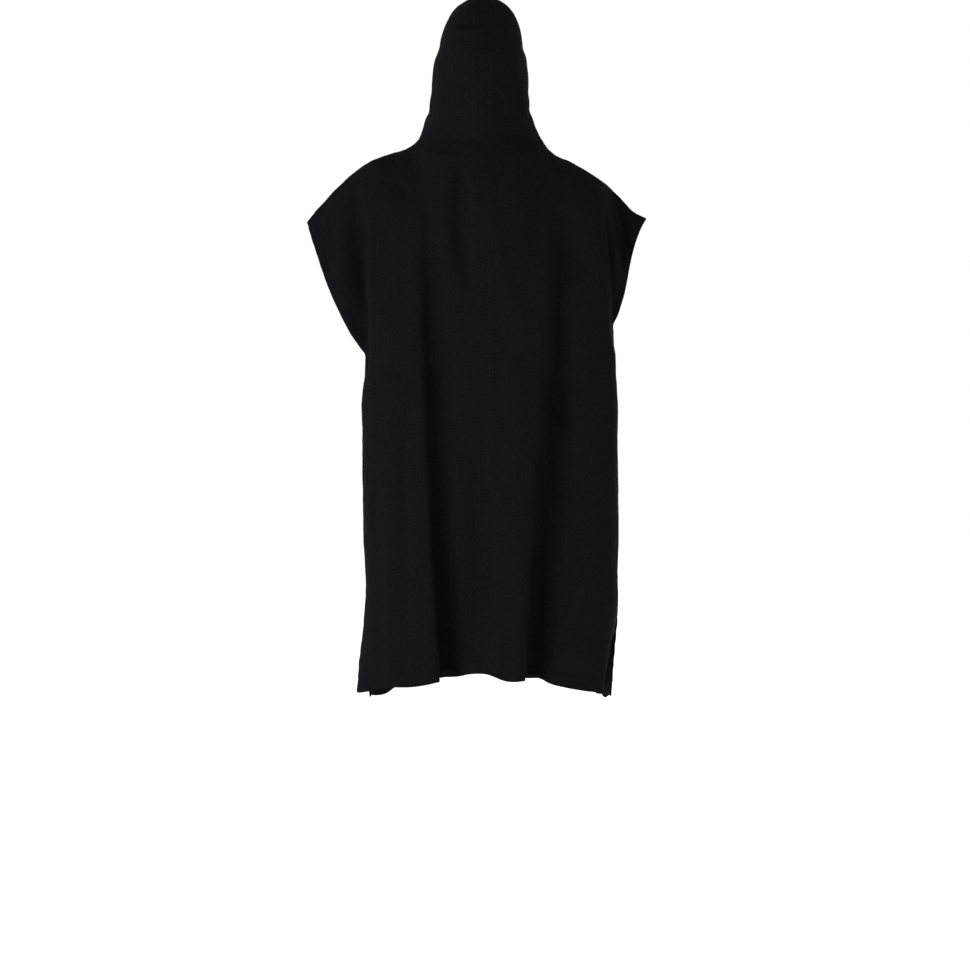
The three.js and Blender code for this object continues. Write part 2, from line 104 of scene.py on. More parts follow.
class Table:
    """A short table of rows, read between them on a smooth curve."""

    def __init__(self, rows: Sequence[object], key: str) -> None:
        """Keep the rows' numbers as columns.

        Args:
            rows: Frozen dataclasses of one kind, in rising order of key.
            key: The name of the column that the others are read by.
        """
        names = [f.name for f in fields(rows[0]) if f.name != "at"]
        self.columns = {name: np.array([float(getattr(row, name)) for row in rows]) for name in names}
        self.key = self.columns[key]

    def read(self, column: str, at: np.ndarray) -> np.ndarray:
        """The column's value at each place, on a cubic curve through the rows.

        Args:
            column: The column to read.
            at: Places on the table's key.

        Returns:
            The values, in the shape of at.
        """
        key, value = self.key, self.columns[column]
        at = np.asarray(at, float)
        i = np.clip(np.searchsorted(key, at, side="left") - 1, 0, len(key) - 2)
        low, high = np.maximum(i - 1, 0), np.minimum(i + 2, len(key) - 1)
        span = key[i + 1] - key[i]
        slope_a = (value[i + 1] - value[low]) / (key[i + 1] - key[low]) * span
        slope_b = (value[high] - value[i]) / (key[high] - key[i]) * span
        t = np.clip((at - key[i]) / span, 0.0, 1.0)
        return (
            (2 * t**3 - 3 * t**2 + 1) * value[i]
            + (t**3 - 2 * t**2 + t) * slope_a
            + (3 * t**2 - 2 * t**3) * value[i + 1]
            + (t**3 - t**2) * slope_b
        )


def stack(x: np.ndarray, y: np.ndarray, z: np.ndarray) -> np.ndarray:
    """Points from their three coordinates, which may need broadcasting."""
    return np.stack(np.broadcast_arrays(x, y, z), axis=-1).astype(float)


TINY = 1e-9  # keeps a vector of length 0 from being divided by 0


def unit(vectors: np.ndarray) -> np.ndarray:
    """The vectors, each scaled to length 1."""
    return vectors / np.maximum(np.linalg.norm(vectors, axis=-1, keepdims=True), TINY)


def graded(stretches: Sequence[tuple[float, int]]) -> np.ndarray:
    """Places from 0 upwards, evenly spaced within each stretch.

    Args:
        stretches: For each stretch, the place where it ends and how many steps it has.

    Returns:
        The places, from 0 to the last stretch's end.
    """
    places = [np.zeros(1)]
    start = 0.0
    for end, count in stretches:
        places.append(np.linspace(start, end, count + 1)[1:])
        start = end
    return np.concatenate(places)


# The garment's form, from the same sizes as its solids


@dataclass(frozen=True)
class SeamPlace:
    """Where the shoulder seam runs, at a share of its way from the neck to the sleeve's tip."""

    at: str
    share: float
    left_x: float
    left_z: float
    right_x: float
    right_z: float
    y: float


@dataclass(frozen=True)
class Thread:
    """How the threads at flat place s leave the shoulder and come down to the underarm."""

    at: str
    s: float
    out: float
    away: float
    drop: float
    foot_out: float
    foot_away: float
    foot_up: float


@dataclass(frozen=True)
class Ring:
    """A ring of the body below the sleeves."""

    at: str
    down: float
    left: float
    right: float
    back: float
    front: float
    left_tuck: float
    right_tuck: float
    left_z: float
    right_z: float
    back_z: float
    front_z: float


@dataclass(frozen=True)
class Fold:
    """A large fold, which sinks into the cloth along a line from its top to its foot."""

    at: str
    top_x: float
    top_z: float
    foot_x: float
    foot_z: float
    left: float
    right: float
    mid: float
    foot: float


@dataclass(frozen=True)
class Crease:
    """A small crease or ridge between two points of a panel, seen from straight behind or in
    front. It bows sideways by bow at its middle. A depth below 0 makes a ridge."""

    at: str
    x0: float
    z0: float
    x1: float
    z1: float
    depth: float
    left: float
    right: float
    bow: float = 0.0


@dataclass(frozen=True)
class Sag:
    """A place where the hem hangs a little lower between two folds."""

    at: str
    x: float
    half: float
    drop: float


@dataclass(frozen=True)
class Corner:
    """How far a panel's lower corner swings beside a side vent."""

    out: float
    away: float


@dataclass(frozen=True)
class HoodRow:
    """A row of the hood, from the neck seam to the seam over the crown."""

    at: str
    up: float
    left: float
    right: float
    back: float
    face: float
    side_z: float
    back_z: float
    face_z: float
    face_turn: float
    seam_x: float


SHOULDER = (
    SeamPlace("neck point", 0.0, 118, 15, -114, 15, 0),
    SeamPlace("neck slope", 0.12, 136, -2, -131, -8, 0),
    SeamPlace("mid slope", 0.28, 183, -19, -171, -29, 0),
    SeamPlace("shoulder bone", 0.45, 223, -37, -209, -52, 0),
    SeamPlace("upper arm", 0.6, 257, -64, -240, -73, -3),
    SeamPlace("sleeve", 0.78, 291, -95, -273, -105, -6),
    SeamPlace("sleeve hollow", 0.88, 310, -118, -288, -122, -8),
    SeamPlace("sleeve tip", 1.0, 331, -142, -314, -136, -10),
)

BACK_THREADS = (
    Thread("right sleeve edge", -390, -38, 64, 54, 27, 60, 44),
    Thread("right sleeve", -310, -6, 66, 34, 16, 22, 120),
    Thread("right shoulder bone", -235, 2, 76, 10, 3, 8, 160),
    Thread("right neck point", -120, 6, 80, 26, 0, 6, 180),
    Thread("centre", 0, 0, 18, 46, 0, 5, 190),
    Thread("left neck point", 120, 6, 80, 26, 0, 6, 180),
    Thread("left shoulder bone", 235, 2, 76, 10, 3, 8, 160),
    Thread("left sleeve", 310, -4, 66, 36, 20, 22, 130),
    Thread("left sleeve edge", 390, -24, 64, 72, 60, 60, 84),
)

FRONT_THREADS = (
    Thread("right sleeve edge", -390, -40, 58, 58, 25, 56, 46),
    Thread("right sleeve", -310, -4, 58, 40, 14, 20, 120),
    Thread("right shoulder bone", -235, 2, 68, 14, 6, 12, 160),
    Thread("right neck point", -120, 6, 72, 30, 0, 8, 170),
    Thread("centre", 0, 0, 20, 40, 0, 8, 130),
    Thread("left neck point", 120, 6, 72, 30, 0, 8, 170),
    Thread("left shoulder bone", 235, 2, 68, 14, 6, 12, 160),
    Thread("left sleeve", 310, -4, 58, 40, 18, 20, 130),
    Thread("left sleeve edge", 390, -26, 58, 74, 60, 56, 84),
)

RINGS = (
    Ring("underarm", 1.0, 232, 260, 128, 134, 12, 10, -395, -340, -342, -346),
    Ring("waist", 1.35, 231, 263, 124, 138, 8, 7, -600, -570, -560, -566),
    Ring("hip", 1.7, 220, 261, 124, 142, 2, 2, -836, -856, -800, -806),
    Ring("hem", 2.0, 217, 252, 128, 146, 0, 0, -1034, -1035, -990, -1004),
)

HOOD = (
    HoodRow("neck seam", 0.0, 118, 114, 102, 96, 15, -2, -52, 90, 0),
    HoodRow("collar", 0.25, 107, 100, 105, 114, 44, 40, -4, 66, 3),
    HoodRow("jaw", 0.62, 98, 93, 109, 118, 92, 98, 66, 44, 6),
    HoodRow("cheek", 1.0, 91, 88, 112, 115, 146, 152, 126, 31, 8),
    HoodRow("temple", 1.32, 77, 78, 107, 113, 200, 200, 176, 30, 8),
    HoodRow("brow", 1.52, 65, 70, 97, 111, 236, 230, 212, 31, 7),
    HoodRow("crown side", 1.72, 44, 50, 82, 109, 264, 252, 238, 34, 4),
    HoodRow("crown", 1.87, 20, 24, 70, 107, 279, 263, 250, 38, 2),
    HoodRow("crown seam", 2.0, 0, 0, 58, 106, 286, 270, 256, 40, 0),
)


@dataclass(frozen=True)
class Cut:
    """Sizes of the flat cut and of the body's rings, in millimetres."""

    half_panel: float = 390.0
    half_neck: float = 120.0
    ring_square: float = 2.6
    tuck_half: float = 52.0
    vent_start: float = 1.7
    vent_reach: float = 130.0
    sag_start: float = 1.6
    fold_fade: float = 60.0
    side_hold: float = 26.0
    top_hold: float = 0.16


CUT = Cut()


class BodyForm:
    """The smooth form that the back and front panels share, without folds."""

    RING_STEPS = 240

    def __init__(self) -> None:
        """Read the tables of sizes once."""
        self.shoulder = Table(SHOULDER, "share")
        self.rings = Table(RINGS, "down")
        self.neck = HOOD[0]

    def neckline(self, turn: np.ndarray) -> np.ndarray:
        """Points of the neckline: turn is 0 at the wearer's left and a quarter turn at the back."""
        c, s = np.cos(turn), np.sin(turn)
        wide = np.where(c > 0, self.neck.left, self.neck.right)
        deep = np.where(s > 0, self.neck.back, self.neck.face)
        end_z = np.where(s > 0, self.neck.back_z, self.neck.face_z)
        return stack(c * wide, s * deep, mix(self.neck.side_z, end_z, s * s))

    def top_edge(self, side: Side, s: np.ndarray) -> np.ndarray:
        """A panel's top edge: the neckline with a shoulder seam on each side.

        Args:
            side: Which panel.
            s: Flat places across the panel.

        Returns:
            Points of the edge.
        """
        quarter = np.clip(s / CUT.half_neck, -1, 1) * (math.pi / 2)
        neck = self.neckline(side.value * (math.pi / 2 - quarter))
        share = np.clip((np.abs(s) - CUT.half_neck) / (CUT.half_panel - CUT.half_neck), 0, 1)
        left = s > 0
        seam = stack(
            np.where(left, self.shoulder.read("left_x", share), self.shoulder.read("right_x", share)),
            self.shoulder.read("y", share),
            np.where(left, self.shoulder.read("left_z", share), self.shoulder.read("right_z", share)),
        )
        return np.where((np.abs(s) <= CUT.half_neck)[..., None], neck, seam)

    def ring(self, side: Side, down: np.ndarray, turn: np.ndarray) -> np.ndarray:
        """Points of the body's rings: turn is 0 at the panel's middle and +-90 degrees at its sides.

        Args:
            side: Which panel's half of the ring.
            down: Heights of the rings, from 1 at the underarm to 2 at the hem.
            turn: Turns round the ring, positive towards the wearer's left.

        Returns:
            Points on the rings.
        """
        c, s = np.cos(turn), np.sin(turn)
        left, right = self.rings.read("left", down), self.rings.read("right", down)
        facing = side.name.lower()
        deep = self.rings.read(facing, down)
        square = CUT.ring_square
        half_wide = (left + right) / 2
        radius = ((np.abs(s) / half_wide) ** square + (np.abs(c) / deep) ** square) ** (-1 / square)
        y = radius * c
        tuck_size = np.where(s > 0, self.rings.read("left_tuck", down), self.rings.read("right_tuck", down))
        tuck = tuck_size * np.exp(-((y / CUT.tuck_half) ** 2)) * np.abs(s) ** 3
        centre_z = self.rings.read(facing + "_z", down)
        side_z = np.where(s > 0, self.rings.read("left_z", down), self.rings.read("right_z", down))
        x = (left - right) / 2 + radius * s - np.sign(s) * tuck
        return stack(x, side.value * y, mix(centre_z, side_z, s * s))

    def even_turn(self, side: Side, down: np.ndarray, share: np.ndarray) -> np.ndarray:
        """Turns at which a share of the ring's length has gone by.

        Args:
            side: Which panel.
            down: One height for each row of share.
            share: Shares of the length, a row for each ring.

        Returns:
            The turns, in the shape of share.
        """
        steps = np.linspace(-math.pi / 2, math.pi / 2, self.RING_STEPS + 1)
        points = self.ring(side, down[:, None], steps[None, :])
        lengths = running_length(points)
        rows = zip(share, lengths)
        return np.stack([np.interp(wanted * gone[-1], gone, steps) for wanted, gone in rows])

    def smooth(self, side: Side, threads: Table, s: np.ndarray, down: np.ndarray) -> np.ndarray:
        """A panel's points without folds.

        Args:
            side: Which panel.
            threads: The panel's table of threads.
            s: Flat places, a row for each height.
            down: Heights: 0 at the shoulder, 1 at the underarm, 2 at the hem.

        Returns:
            The points, row by row.
        """
        share = (s / CUT.half_panel + 1) / 2
        yoke = down < 1
        points = np.empty(s.shape + (3,))
        skirt = ~yoke
        if skirt.any():
            turn = self.even_turn(side, down[skirt], share[skirt])
            points[skirt] = self.ring(side, down[skirt][:, None], turn)
        if yoke.any():
            here = s[yoke]
            top = self.top_edge(side, here)
            underarm = np.ones(1)
            foot_turn = self.even_turn(side, underarm, share[yoke].reshape(1, -1)).reshape(here.shape)
            foot = self.ring(side, underarm[:, None], foot_turn)
            hand = np.sign(here)
            read = threads.read
            out, away, drop = read("out", here), read("away", here), read("drop", here)
            foot_out, foot_away = read("foot_out", here), read("foot_away", here)
            upper = top + stack(hand * out, side.value * away, -drop)
            lower = foot + stack(hand * foot_out, side.value * foot_away, read("foot_up", here))
            t = down[yoke][:, None, None]
            points[yoke] = (
                (1 - t) ** 3 * top + 3 * (1 - t) ** 2 * t * upper + 3 * (1 - t) * t**2 * lower + t**3 * foot
            )
        return points


def running_length(points: np.ndarray) -> np.ndarray:
    """Lengths along each row of points, from 0 at its start."""
    steps = np.linalg.norm(np.diff(points, axis=1), axis=-1)
    return np.concatenate([np.zeros((len(points), 1)), np.cumsum(steps, axis=1)], axis=1)


class Ripples:
    """Soft unevenness of hanging cloth: a sum of slow waves with fixed directions."""

    UPRIGHT = 0.55  # how strongly the waves run up and down, against sideways

    def __init__(self, seed: int, longest: float, shortest: float, waves: int = 14) -> None:
        """Choose the waves.

        Args:
            seed: Fixes the waves' directions and phases.
            longest: Longest wave, in millimetres.
            shortest: Shortest wave, in millimetres.
            waves: How many.
        """
        rng = np.random.default_rng(seed)
        lengths = np.exp(rng.uniform(math.log(shortest), math.log(longest), waves))
        directions = unit(rng.normal(size=(waves, 3)) * np.array([1.0, 1.0, self.UPRIGHT]))
        self.waves = directions * (2 * math.pi / lengths)[:, None]
        self.phases = rng.uniform(0, 2 * math.pi, waves)
        self.weights = lengths / lengths.max()
        self.weights /= np.sqrt((self.weights**2).sum() / 2)

    def at(self, points: np.ndarray) -> np.ndarray:
        """The unevenness at each point, mostly within +-2."""
        return (np.sin(points @ self.waves.T + self.phases) * self.weights).sum(-1)


# Pieces of cloth as grids of points


@dataclass
class Sheet:
    """One cut piece as a grid: rows run downwards, and rows crossed with columns face outwards.

    Distances are measured on the cloth, in millimetres, from each border.
    """

    name: str
    points: np.ndarray
    normals: np.ndarray

    @classmethod
    def of(cls, name: str, points: np.ndarray) -> "Sheet":
        """A sheet with normals worked out from its points."""
        return cls(name, points, grid_normals(points))

    @property
    def from_left(self) -> np.ndarray:
        """Distance of each point from the first column."""
        return running_length(self.points)

    @property
    def from_right(self) -> np.ndarray:
        """Distance of each point from the last column."""
        return running_length(self.points[:, ::-1])[:, ::-1]

    @property
    def from_top(self) -> np.ndarray:
        """Distance of each point from the first row."""
        return running_length(self.points.swapaxes(0, 1)).T

    @property
    def from_bottom(self) -> np.ndarray:
        """Distance of each point from the last row."""
        return running_length(self.points[::-1].swapaxes(0, 1)).T[::-1]

    def area(self) -> float:
        """Area of one face, in square millimetres."""
        p = self.points
        first = np.cross(p[1:, :-1] - p[:-1, :-1], p[1:, 1:] - p[:-1, :-1])
        second = np.cross(p[1:, 1:] - p[:-1, :-1], p[:-1, 1:] - p[:-1, :-1])
        return float((np.linalg.norm(first, axis=-1) + np.linalg.norm(second, axis=-1)).sum() / 2)


LEAST_SINE = 0.5  # a corner whose two edges meet at less than 30 degrees counts as straight


def grid_normals(points: np.ndarray) -> np.ndarray:
    """Outward normals of a grid's points, from the points beside them."""
    across = np.empty_like(points)
    across[:, 1:-1] = points[:, 2:] - points[:, :-2]
    across[:, 0] = points[:, 1] - points[:, 0]
    across[:, -1] = points[:, -1] - points[:, -2]
    down = np.empty_like(points)
    down[1:-1] = points[2:] - points[:-2]
    down[0] = points[1] - points[0]
    down[-1] = points[-1] - points[-2]
    normals = np.cross(unit(across), unit(down))
    # A corner whose two edges run on in one line takes the mean of the normals beside it
    for j, beside_j in ((0, 1), (-1, -2)):
        for i, beside_i in ((0, 1), (-1, -2)):
            if np.linalg.norm(normals[j, i]) < LEAST_SINE:
                normals[j, i] = unit(normals[j, beside_i]) + unit(normals[beside_j, i])
    return unit(normals)


def border_mask(shape: tuple[int, int]) -> np.ndarray:
    """True on the border of a grid."""
    mask = np.ones(shape, bool)
    mask[1:-1, 1:-1] = False
    return mask


class Seams:
    """The points of the sheets' borders that are sewn together, which stay together."""

    def __init__(self, sheets: Sequence[Sheet], touching: float = 0.01) -> None:
        """Find the points that lie together.

        Args:
            sheets: All the garment's sheets.
            touching: Points nearer than this are one point of a seam.
        """
        self.sheets = sheets
        self.masks = [border_mask(sheet.points.shape[:2]) for sheet in sheets]
        places = self.gather("points")
        together = [((places - place) ** 2).sum(1) < touching**2 for place in places]
        self.first = np.array([int(near.argmax()) for near in together])

    def gather(self, name: str) -> np.ndarray:
        """The points or normals of all borders, one after another."""
        return np.concatenate([getattr(sheet, name)[mask] for sheet, mask in zip(self.sheets, self.masks)])

    def share(self, name: str) -> None:
        """Give the points of each seam the mean of their points or normals."""
        values = self.gather(name)
        sums = np.zeros_like(values)
        np.add.at(sums, self.first, values)
        means = sums[self.first] / np.bincount(self.first, minlength=len(values))[self.first][:, None]
        start = 0
        for sheet, mask in zip(self.sheets, self.masks):
            count = int(mask.sum())
            part = means[start : start + count]
            getattr(sheet, name)[mask] = unit(part) if name == "normals" else part
            start += count


RELAX_STEP = 0.5  # how much of the way to its neighbours' mean a point goes in one pass


def relax(points: np.ndarray, passes: int, felt: np.ndarray | None = None) -> np.ndarray:
    """Ease each inner point towards the mean of its neighbours, along the normal alone.

    Args:
        points: A grid.
        passes: How often.
        felt: How much of it each point feels, from 0 to 1. All of it when left out.

    Returns:
        The eased grid. Its border stays.
    """
    step_share = RELAX_STEP if felt is None else RELAX_STEP * felt[1:-1, 1:-1, None]
    for _ in range(passes):
        mean = (points[:-2, 1:-1] + points[2:, 1:-1] + points[1:-1, :-2] + points[1:-1, 2:]) / 4
        step = mean - points[1:-1, 1:-1]
        normals = grid_normals(points)[1:-1, 1:-1]
        along = (step * normals).sum(-1, keepdims=True)
        points = points.copy()
        points[1:-1, 1:-1] += step_share * along * normals
    return points


def ease_seam(upper: np.ndarray, lower: np.ndarray, rows: int, passes: int) -> tuple[np.ndarray, np.ndarray]:
    """Let the cloth bend softly across the seam between two grids with the same columns.

    Args:
        upper: The grid above the seam, which is its last row.
        lower: The grid below the seam, which is its first row.
        rows: How many rows on each side feel it.
        passes: How often they are relaxed.

    Returns:
        Both grids.
    """
    strip = relax(np.concatenate([upper[-rows - 1 : -1], lower[: rows + 1]]), passes)
    upper, lower = upper.copy(), lower.copy()
    upper[-rows - 1 :] = strip[: rows + 1]
    lower[: rows + 1] = strip[rows:]
    return upper, lower


CREASE_TAIL = 14.0  # how far a crease runs out past its ends, in millimetres
CREASE_TIP = 0.04  # share of its length from which a crease keeps its depth to the end
CREASE_SWELL = 0.7  # below 1, so that a crease deepens quickly from its ends


def crease_depth(creases: Sequence[Crease], points: np.ndarray, level: int = 0) -> np.ndarray:
    """How far the small creases sink the cloth at each point.

    Args:
        creases: Creases of one face of the garment.
        points: Points of its cloth.
        level: The level axis that the creases' places are read on: 0 for x, 1 for y.

    Returns:
        Depths in millimetres.
    """
    depth = np.zeros(points.shape[:-1])
    for crease in creases:
        start = np.array([crease.x0, crease.z0])
        line = np.array([crease.x1, crease.z1]) - start
        length = np.linalg.norm(line)
        ahead = line / length
        aside = np.array([ahead[1], -ahead[0]])
        here = points[..., [level, 2]] - start
        along = here @ ahead / length
        inside = np.clip(along, 0, 1)
        across = here @ aside - crease.bow * np.sin(math.pi * inside)
        half = np.where(across > 0, crease.right, crease.left)
        beyond = (along - inside) * length
        shape = np.exp(-((across / half) ** 2) - (beyond / CREASE_TAIL) ** 2)
        swell = np.sin(math.pi * np.clip(inside, CREASE_TIP, 1 - CREASE_TIP)) ** CREASE_SWELL
        depth += crease.depth * shape * swell
    return depth


# The back and front panels


BACK_FOLDS = (
    Fold("left pipe", 94, -190, 52, -1010, 34, 92, 26, 52),
    Fold("right pipe", -166, -120, -108, -1010, 38, 96, 27, 48),
    Fold("neck crease", 44, -30, 36, -270, 30, 26, 10, 0),
    Fold("left sleeve valley", 236, -70, 232, -392, 26, 26, 30, 30),
    Fold("right sleeve valley", -232, -90, -254, -345, 14, 34, 10, 8),
    Fold("right sleeve crease", -246, -76, -286, -240, 24, 28, 16, 8),
)

FRONT_FOLDS = (
    Fold("left pipe", 134, -150, 112, -1020, 90, 36, 24, 46),
    Fold("centre pipe", -10, -330, -24, -1020, 70, 60, 12, 30),
    Fold("right pipe", -142, -170, -146, -1020, 40, 84, 20, 42),
    Fold("left sleeve valley", 224, -80, 224, -392, 44, 28, 26, 26),
    Fold("right sleeve valley", -232, -80, -248, -345, 28, 40, 26, 22),
)

BACK_SAGS = (Sag("left side pipe", 176, 38, -7), Sag("middle pipe", -50, 34, 12))
FRONT_SAGS = (
    Sag("left corner", 194, 27, 18),
    Sag("left of the centre", 46, 40, 8),
    Sag("right of the centre", -84, 36, 10),
    Sag("right corner", -238, 11, 19),
)


@dataclass(frozen=True)
class PanelSizes:
    """Steps of a panel's grid, in flat millimetres across and in shares of the drop.

    The slope is the cloth on both sides of a neck point, which is eased more than the rest.
    """

    neck_fine: tuple[float, int] = (28.0, 14)
    neck_steps: int = 23
    sleeve_steps: int = 50
    edge_fine: tuple[float, int] = (27.0, 15)
    rows: tuple[tuple[float, int], ...] = ((0.04, 8), (1.0, 78), (1.955, 118), (2.0, 19))
    passes: int = 10
    slope_passes: int = 60
    slope_half: float = 45.0
    slope_start: float = 0.05
    slope_end: float = 0.35
    slope_fade: float = 0.35


@dataclass
class Panel:
    """One panel of the body, from the shoulder seams to the hem."""

    name: str
    side: Side
    threads: Sequence[Thread]
    folds: Sequence[Fold]
    sags: Sequence[Sag]
    left_corner: Corner
    right_corner: Corner
    creases: Sequence[Crease]
    form: BodyForm
    sizes: PanelSizes = PanelSizes()

    NEAR_S = 1.5
    NEAR_DOWN = 0.004
    ROW_STEPS = 300

    def __post_init__(self) -> None:
        """Read the table of threads once."""
        self.thread_table = Table(self.threads, "s")

    def columns(self) -> np.ndarray:
        """Flat places of the columns, closer together at the middle and at the edges."""
        sizes = self.sizes
        edge, edge_steps = sizes.edge_fine
        neck = (CUT.half_neck, sizes.neck_steps)
        sleeve = (CUT.half_panel - edge, sizes.sleeve_steps)
        half = graded((sizes.neck_fine, neck, sleeve, (CUT.half_panel, edge_steps)))
        return np.concatenate([-half[:0:-1], half])

    def rows(self) -> np.ndarray:
        """Heights of the rows: 0 at the shoulder, 1 at the underarm and 2 at the hem."""
        return graded(self.sizes.rows)

    def fold_depth(self, points: np.ndarray) -> np.ndarray:
        """How far the large folds sink the cloth at each point."""
        depth = np.zeros(points.shape[:-1])
        x, z = points[..., 0], points[..., 2]
        for fold in self.folds:
            drop = fold.top_z - fold.foot_z
            share = (fold.top_z - z) / drop
            across = x - mix(fold.top_x, fold.foot_x, share)
            reach = np.abs(across) / np.where(across > 0, fold.left, fold.right)
            past = np.maximum(share - 1, 0) * drop / CUT.fold_fade
            along = np.clip(share, 0, 1)
            sink = along * (4 * fold.mid * (1 - along) + fold.foot * (2 * along - 1))
            depth += np.maximum(sink, 0) * (1 - ease(reach)) * (1 - ease(past))
        return depth

    def smooth(self, s: np.ndarray, down: np.ndarray) -> np.ndarray:
        """The panel's points without folds."""
        return self.form.smooth(self.side, self.thread_table, s, down)

    def folded(self, s: np.ndarray, down: np.ndarray) -> np.ndarray:
        """The panel's points with its large folds.

        Args:
            s: Flat places, a row for each height.
            down: The heights.

        Returns:
            The points.
        """
        edge = CUT.half_panel
        base = self.smooth(s, down)
        across = self.smooth(np.minimum(s + self.NEAR_S, edge), down)
        across -= self.smooth(np.maximum(s - self.NEAR_S, -edge), down)
        low = self.smooth(s, np.minimum(down + self.NEAR_DOWN, 2))
        high = self.smooth(s, np.maximum(down - self.NEAR_DOWN, 0))
        normals = unit(np.cross(across, high - low)) * -self.side.value
        held = ease((edge - np.abs(s)) / CUT.side_hold) * ease(down / CUT.top_hold)[:, None]
        return base - normals * (self.fold_depth(base) * held)[..., None]

    def even_places(self, flat: np.ndarray, down: np.ndarray) -> np.ndarray:
        """Flat places to sample, so that the folded cloth has its own length between columns."""
        edge = CUT.half_panel
        steps = np.linspace(-edge, edge, self.ROW_STEPS + 1)
        every = np.broadcast_to(steps, (len(down), len(steps)))
        lengths = running_length(self.folded(every, down))
        share = (flat / edge + 1) / 2
        even = np.stack([np.interp(share * row[-1], row, steps) for row in lengths])
        return mix(flat[None, :], even, ease(down)[:, None])

    def corner_swing(self, s: np.ndarray, down: np.ndarray) -> np.ndarray:
        """The swing of the lower corners beside the side vents."""
        opened = ease((down - CUT.vent_start) / (2 - CUT.vent_start))[:, None]
        felt = opened * (1 - ease((CUT.half_panel - np.abs(s)) / CUT.vent_reach))
        left, right = self.left_corner, self.right_corner
        out = np.where(s > 0, left.out, right.out)
        away = np.where(s > 0, left.away, right.away)
        return stack(np.sign(s) * out * felt, self.side.value * away * felt, 0.0)

    def sag(self, x: np.ndarray, down: np.ndarray) -> np.ndarray:
        """How far the hem sags."""
        shown = ease((down - CUT.sag_start) / (2 - CUT.sag_start))[:, None]
        return sum(sag.drop * shown * np.exp(-(((x - sag.x) / sag.half) ** 2)) for sag in self.sags)

    def sheet(self) -> Sheet:
        """The panel as a grid of points, eased as cloth is."""
        flat, down = self.columns(), self.rows()
        s = self.even_places(flat, down)
        points = self.folded(s, down) + self.corner_swing(s, down)
        points[..., 2] -= self.sag(points[..., 0], down)
        # The cloth runs softly from the back of the neck over to the shoulders
        on_slope = np.exp(-(((np.abs(flat) - CUT.half_neck) / self.sizes.slope_half) ** 2))
        past = (down - self.sizes.slope_end) / self.sizes.slope_fade
        felt = ease(down / self.sizes.slope_start) * (1 - ease(past))
        points = relax(points, self.sizes.slope_passes, felt[:, None] * on_slope)
        if self.side is Side.FRONT:
            points = points[:, ::-1]
        return Sheet.of(self.name, relax(points, self.sizes.passes))


# The hood


@dataclass(frozen=True)
class HoodSizes:
    """Steps of the hood's grids and the shape of its centre seam, in millimetres."""

    keel_height: float = 2.2
    keel_reach: float = 30.0
    keel_fade: float = 0.5
    crease_x: float = 10.0
    crease_z: float = 217.0
    crease_half_width: float = 34.0
    crease_half_height: float = 12.0
    crease_depth: float = 3.0
    rows: tuple[tuple[float, int], ...] = ((0.08, 8), (1.92, 84), (2.0, 8))


@dataclass
class HoodHalf:
    """The left or right half of the hood."""

    name: str
    hand: Hand
    quarter: np.ndarray
    sizes: HoodSizes = HoodSizes()

    def __post_init__(self) -> None:
        """Read the hood's table once."""
        self.table = Table(HOOD, "up")

    def rows(self) -> np.ndarray:
        """Heights of the rows, from the crown at 2 down to the neck seam at 0."""
        return graded(self.sizes.rows)[::-1]

    def columns(self) -> np.ndarray:
        """Turns of the columns: 0 at the back seam, 1 at the side and 2 at the face edge.

        They meet the columns of the panels, whose quarter of the neckline is given as shares
        from the middle of the panel to the neck point.
        """
        return np.concatenate([self.quarter, 2 - self.quarter[-2::-1]])

    def keel(self, off: np.ndarray, up: np.ndarray) -> np.ndarray:
        """How far the centre seam stands proud down the back."""
        shown = ease(up / self.sizes.keel_fade) * ease((2 - up) / self.sizes.keel_fade)
        return self.sizes.keel_height * shown * np.exp(-((off / self.sizes.keel_reach) ** 2))

    def crown_crease(self, x: np.ndarray, z: np.ndarray) -> np.ndarray:
        """Depth of the short crease across the back of the crown."""
        across = (x - self.sizes.crease_x) / self.sizes.crease_half_width
        over = (z - self.sizes.crease_z) / self.sizes.crease_half_height
        return self.sizes.crease_depth * np.exp(-(across**2) - over**2)

    def sheet(self) -> Sheet:
        """The half hood as a grid of points."""
        up = self.rows()[:, None]
        turn = self.columns()[None, :]
        read = self.table.read
        width = read("left" if self.hand is Hand.LEFT else "right", up)
        to_end = np.sin(np.abs(turn - 1) * math.pi / 2) ** 2
        face_turn = np.radians(read("face_turn", up))
        front_angle = np.maximum(turn - 1, 0) * face_turn
        front_y = -read("face", up) * np.sin(front_angle) / np.sin(face_turn)
        back_angle = (1 - np.minimum(turn, 1)) * math.pi / 2
        off = width * np.cos(back_angle)
        behind = turn <= 1
        x = np.where(behind, off, width * np.cos(front_angle)) * self.hand.value
        x = x + np.where(behind, read("seam_x", up) * to_end, 0)
        z = mix(read("side_z", up), np.where(behind, read("back_z", up), read("face_z", up)), to_end)
        back_y = read("back", up) * np.sin(back_angle) + self.keel(off, up)
        back_y = back_y - self.crown_crease(x, z) * to_end
        points = stack(x, np.where(behind, back_y, front_y), z)
        if self.hand is Hand.RIGHT:
            points = points[:, ::-1]
        return Sheet.of(self.name, points)


# Borders, hems and seams


@dataclass
class Border:
    """How far the points of a sheet are from one of its borders, and how that border is made.

    turned is the width of its hem, or of its seam allowance, row by row or column by column.
    sewn is 1 where the border is sewn to another sheet and 0 where it is free, and same_creases
    is true where the creases run on across its seam. roll is how far the seam draws in.
    """

    away: np.ndarray
    along: np.ndarray
    turned: np.ndarray
    sewn: np.ndarray
    same_creases: bool = False
    roll: float = 0.5


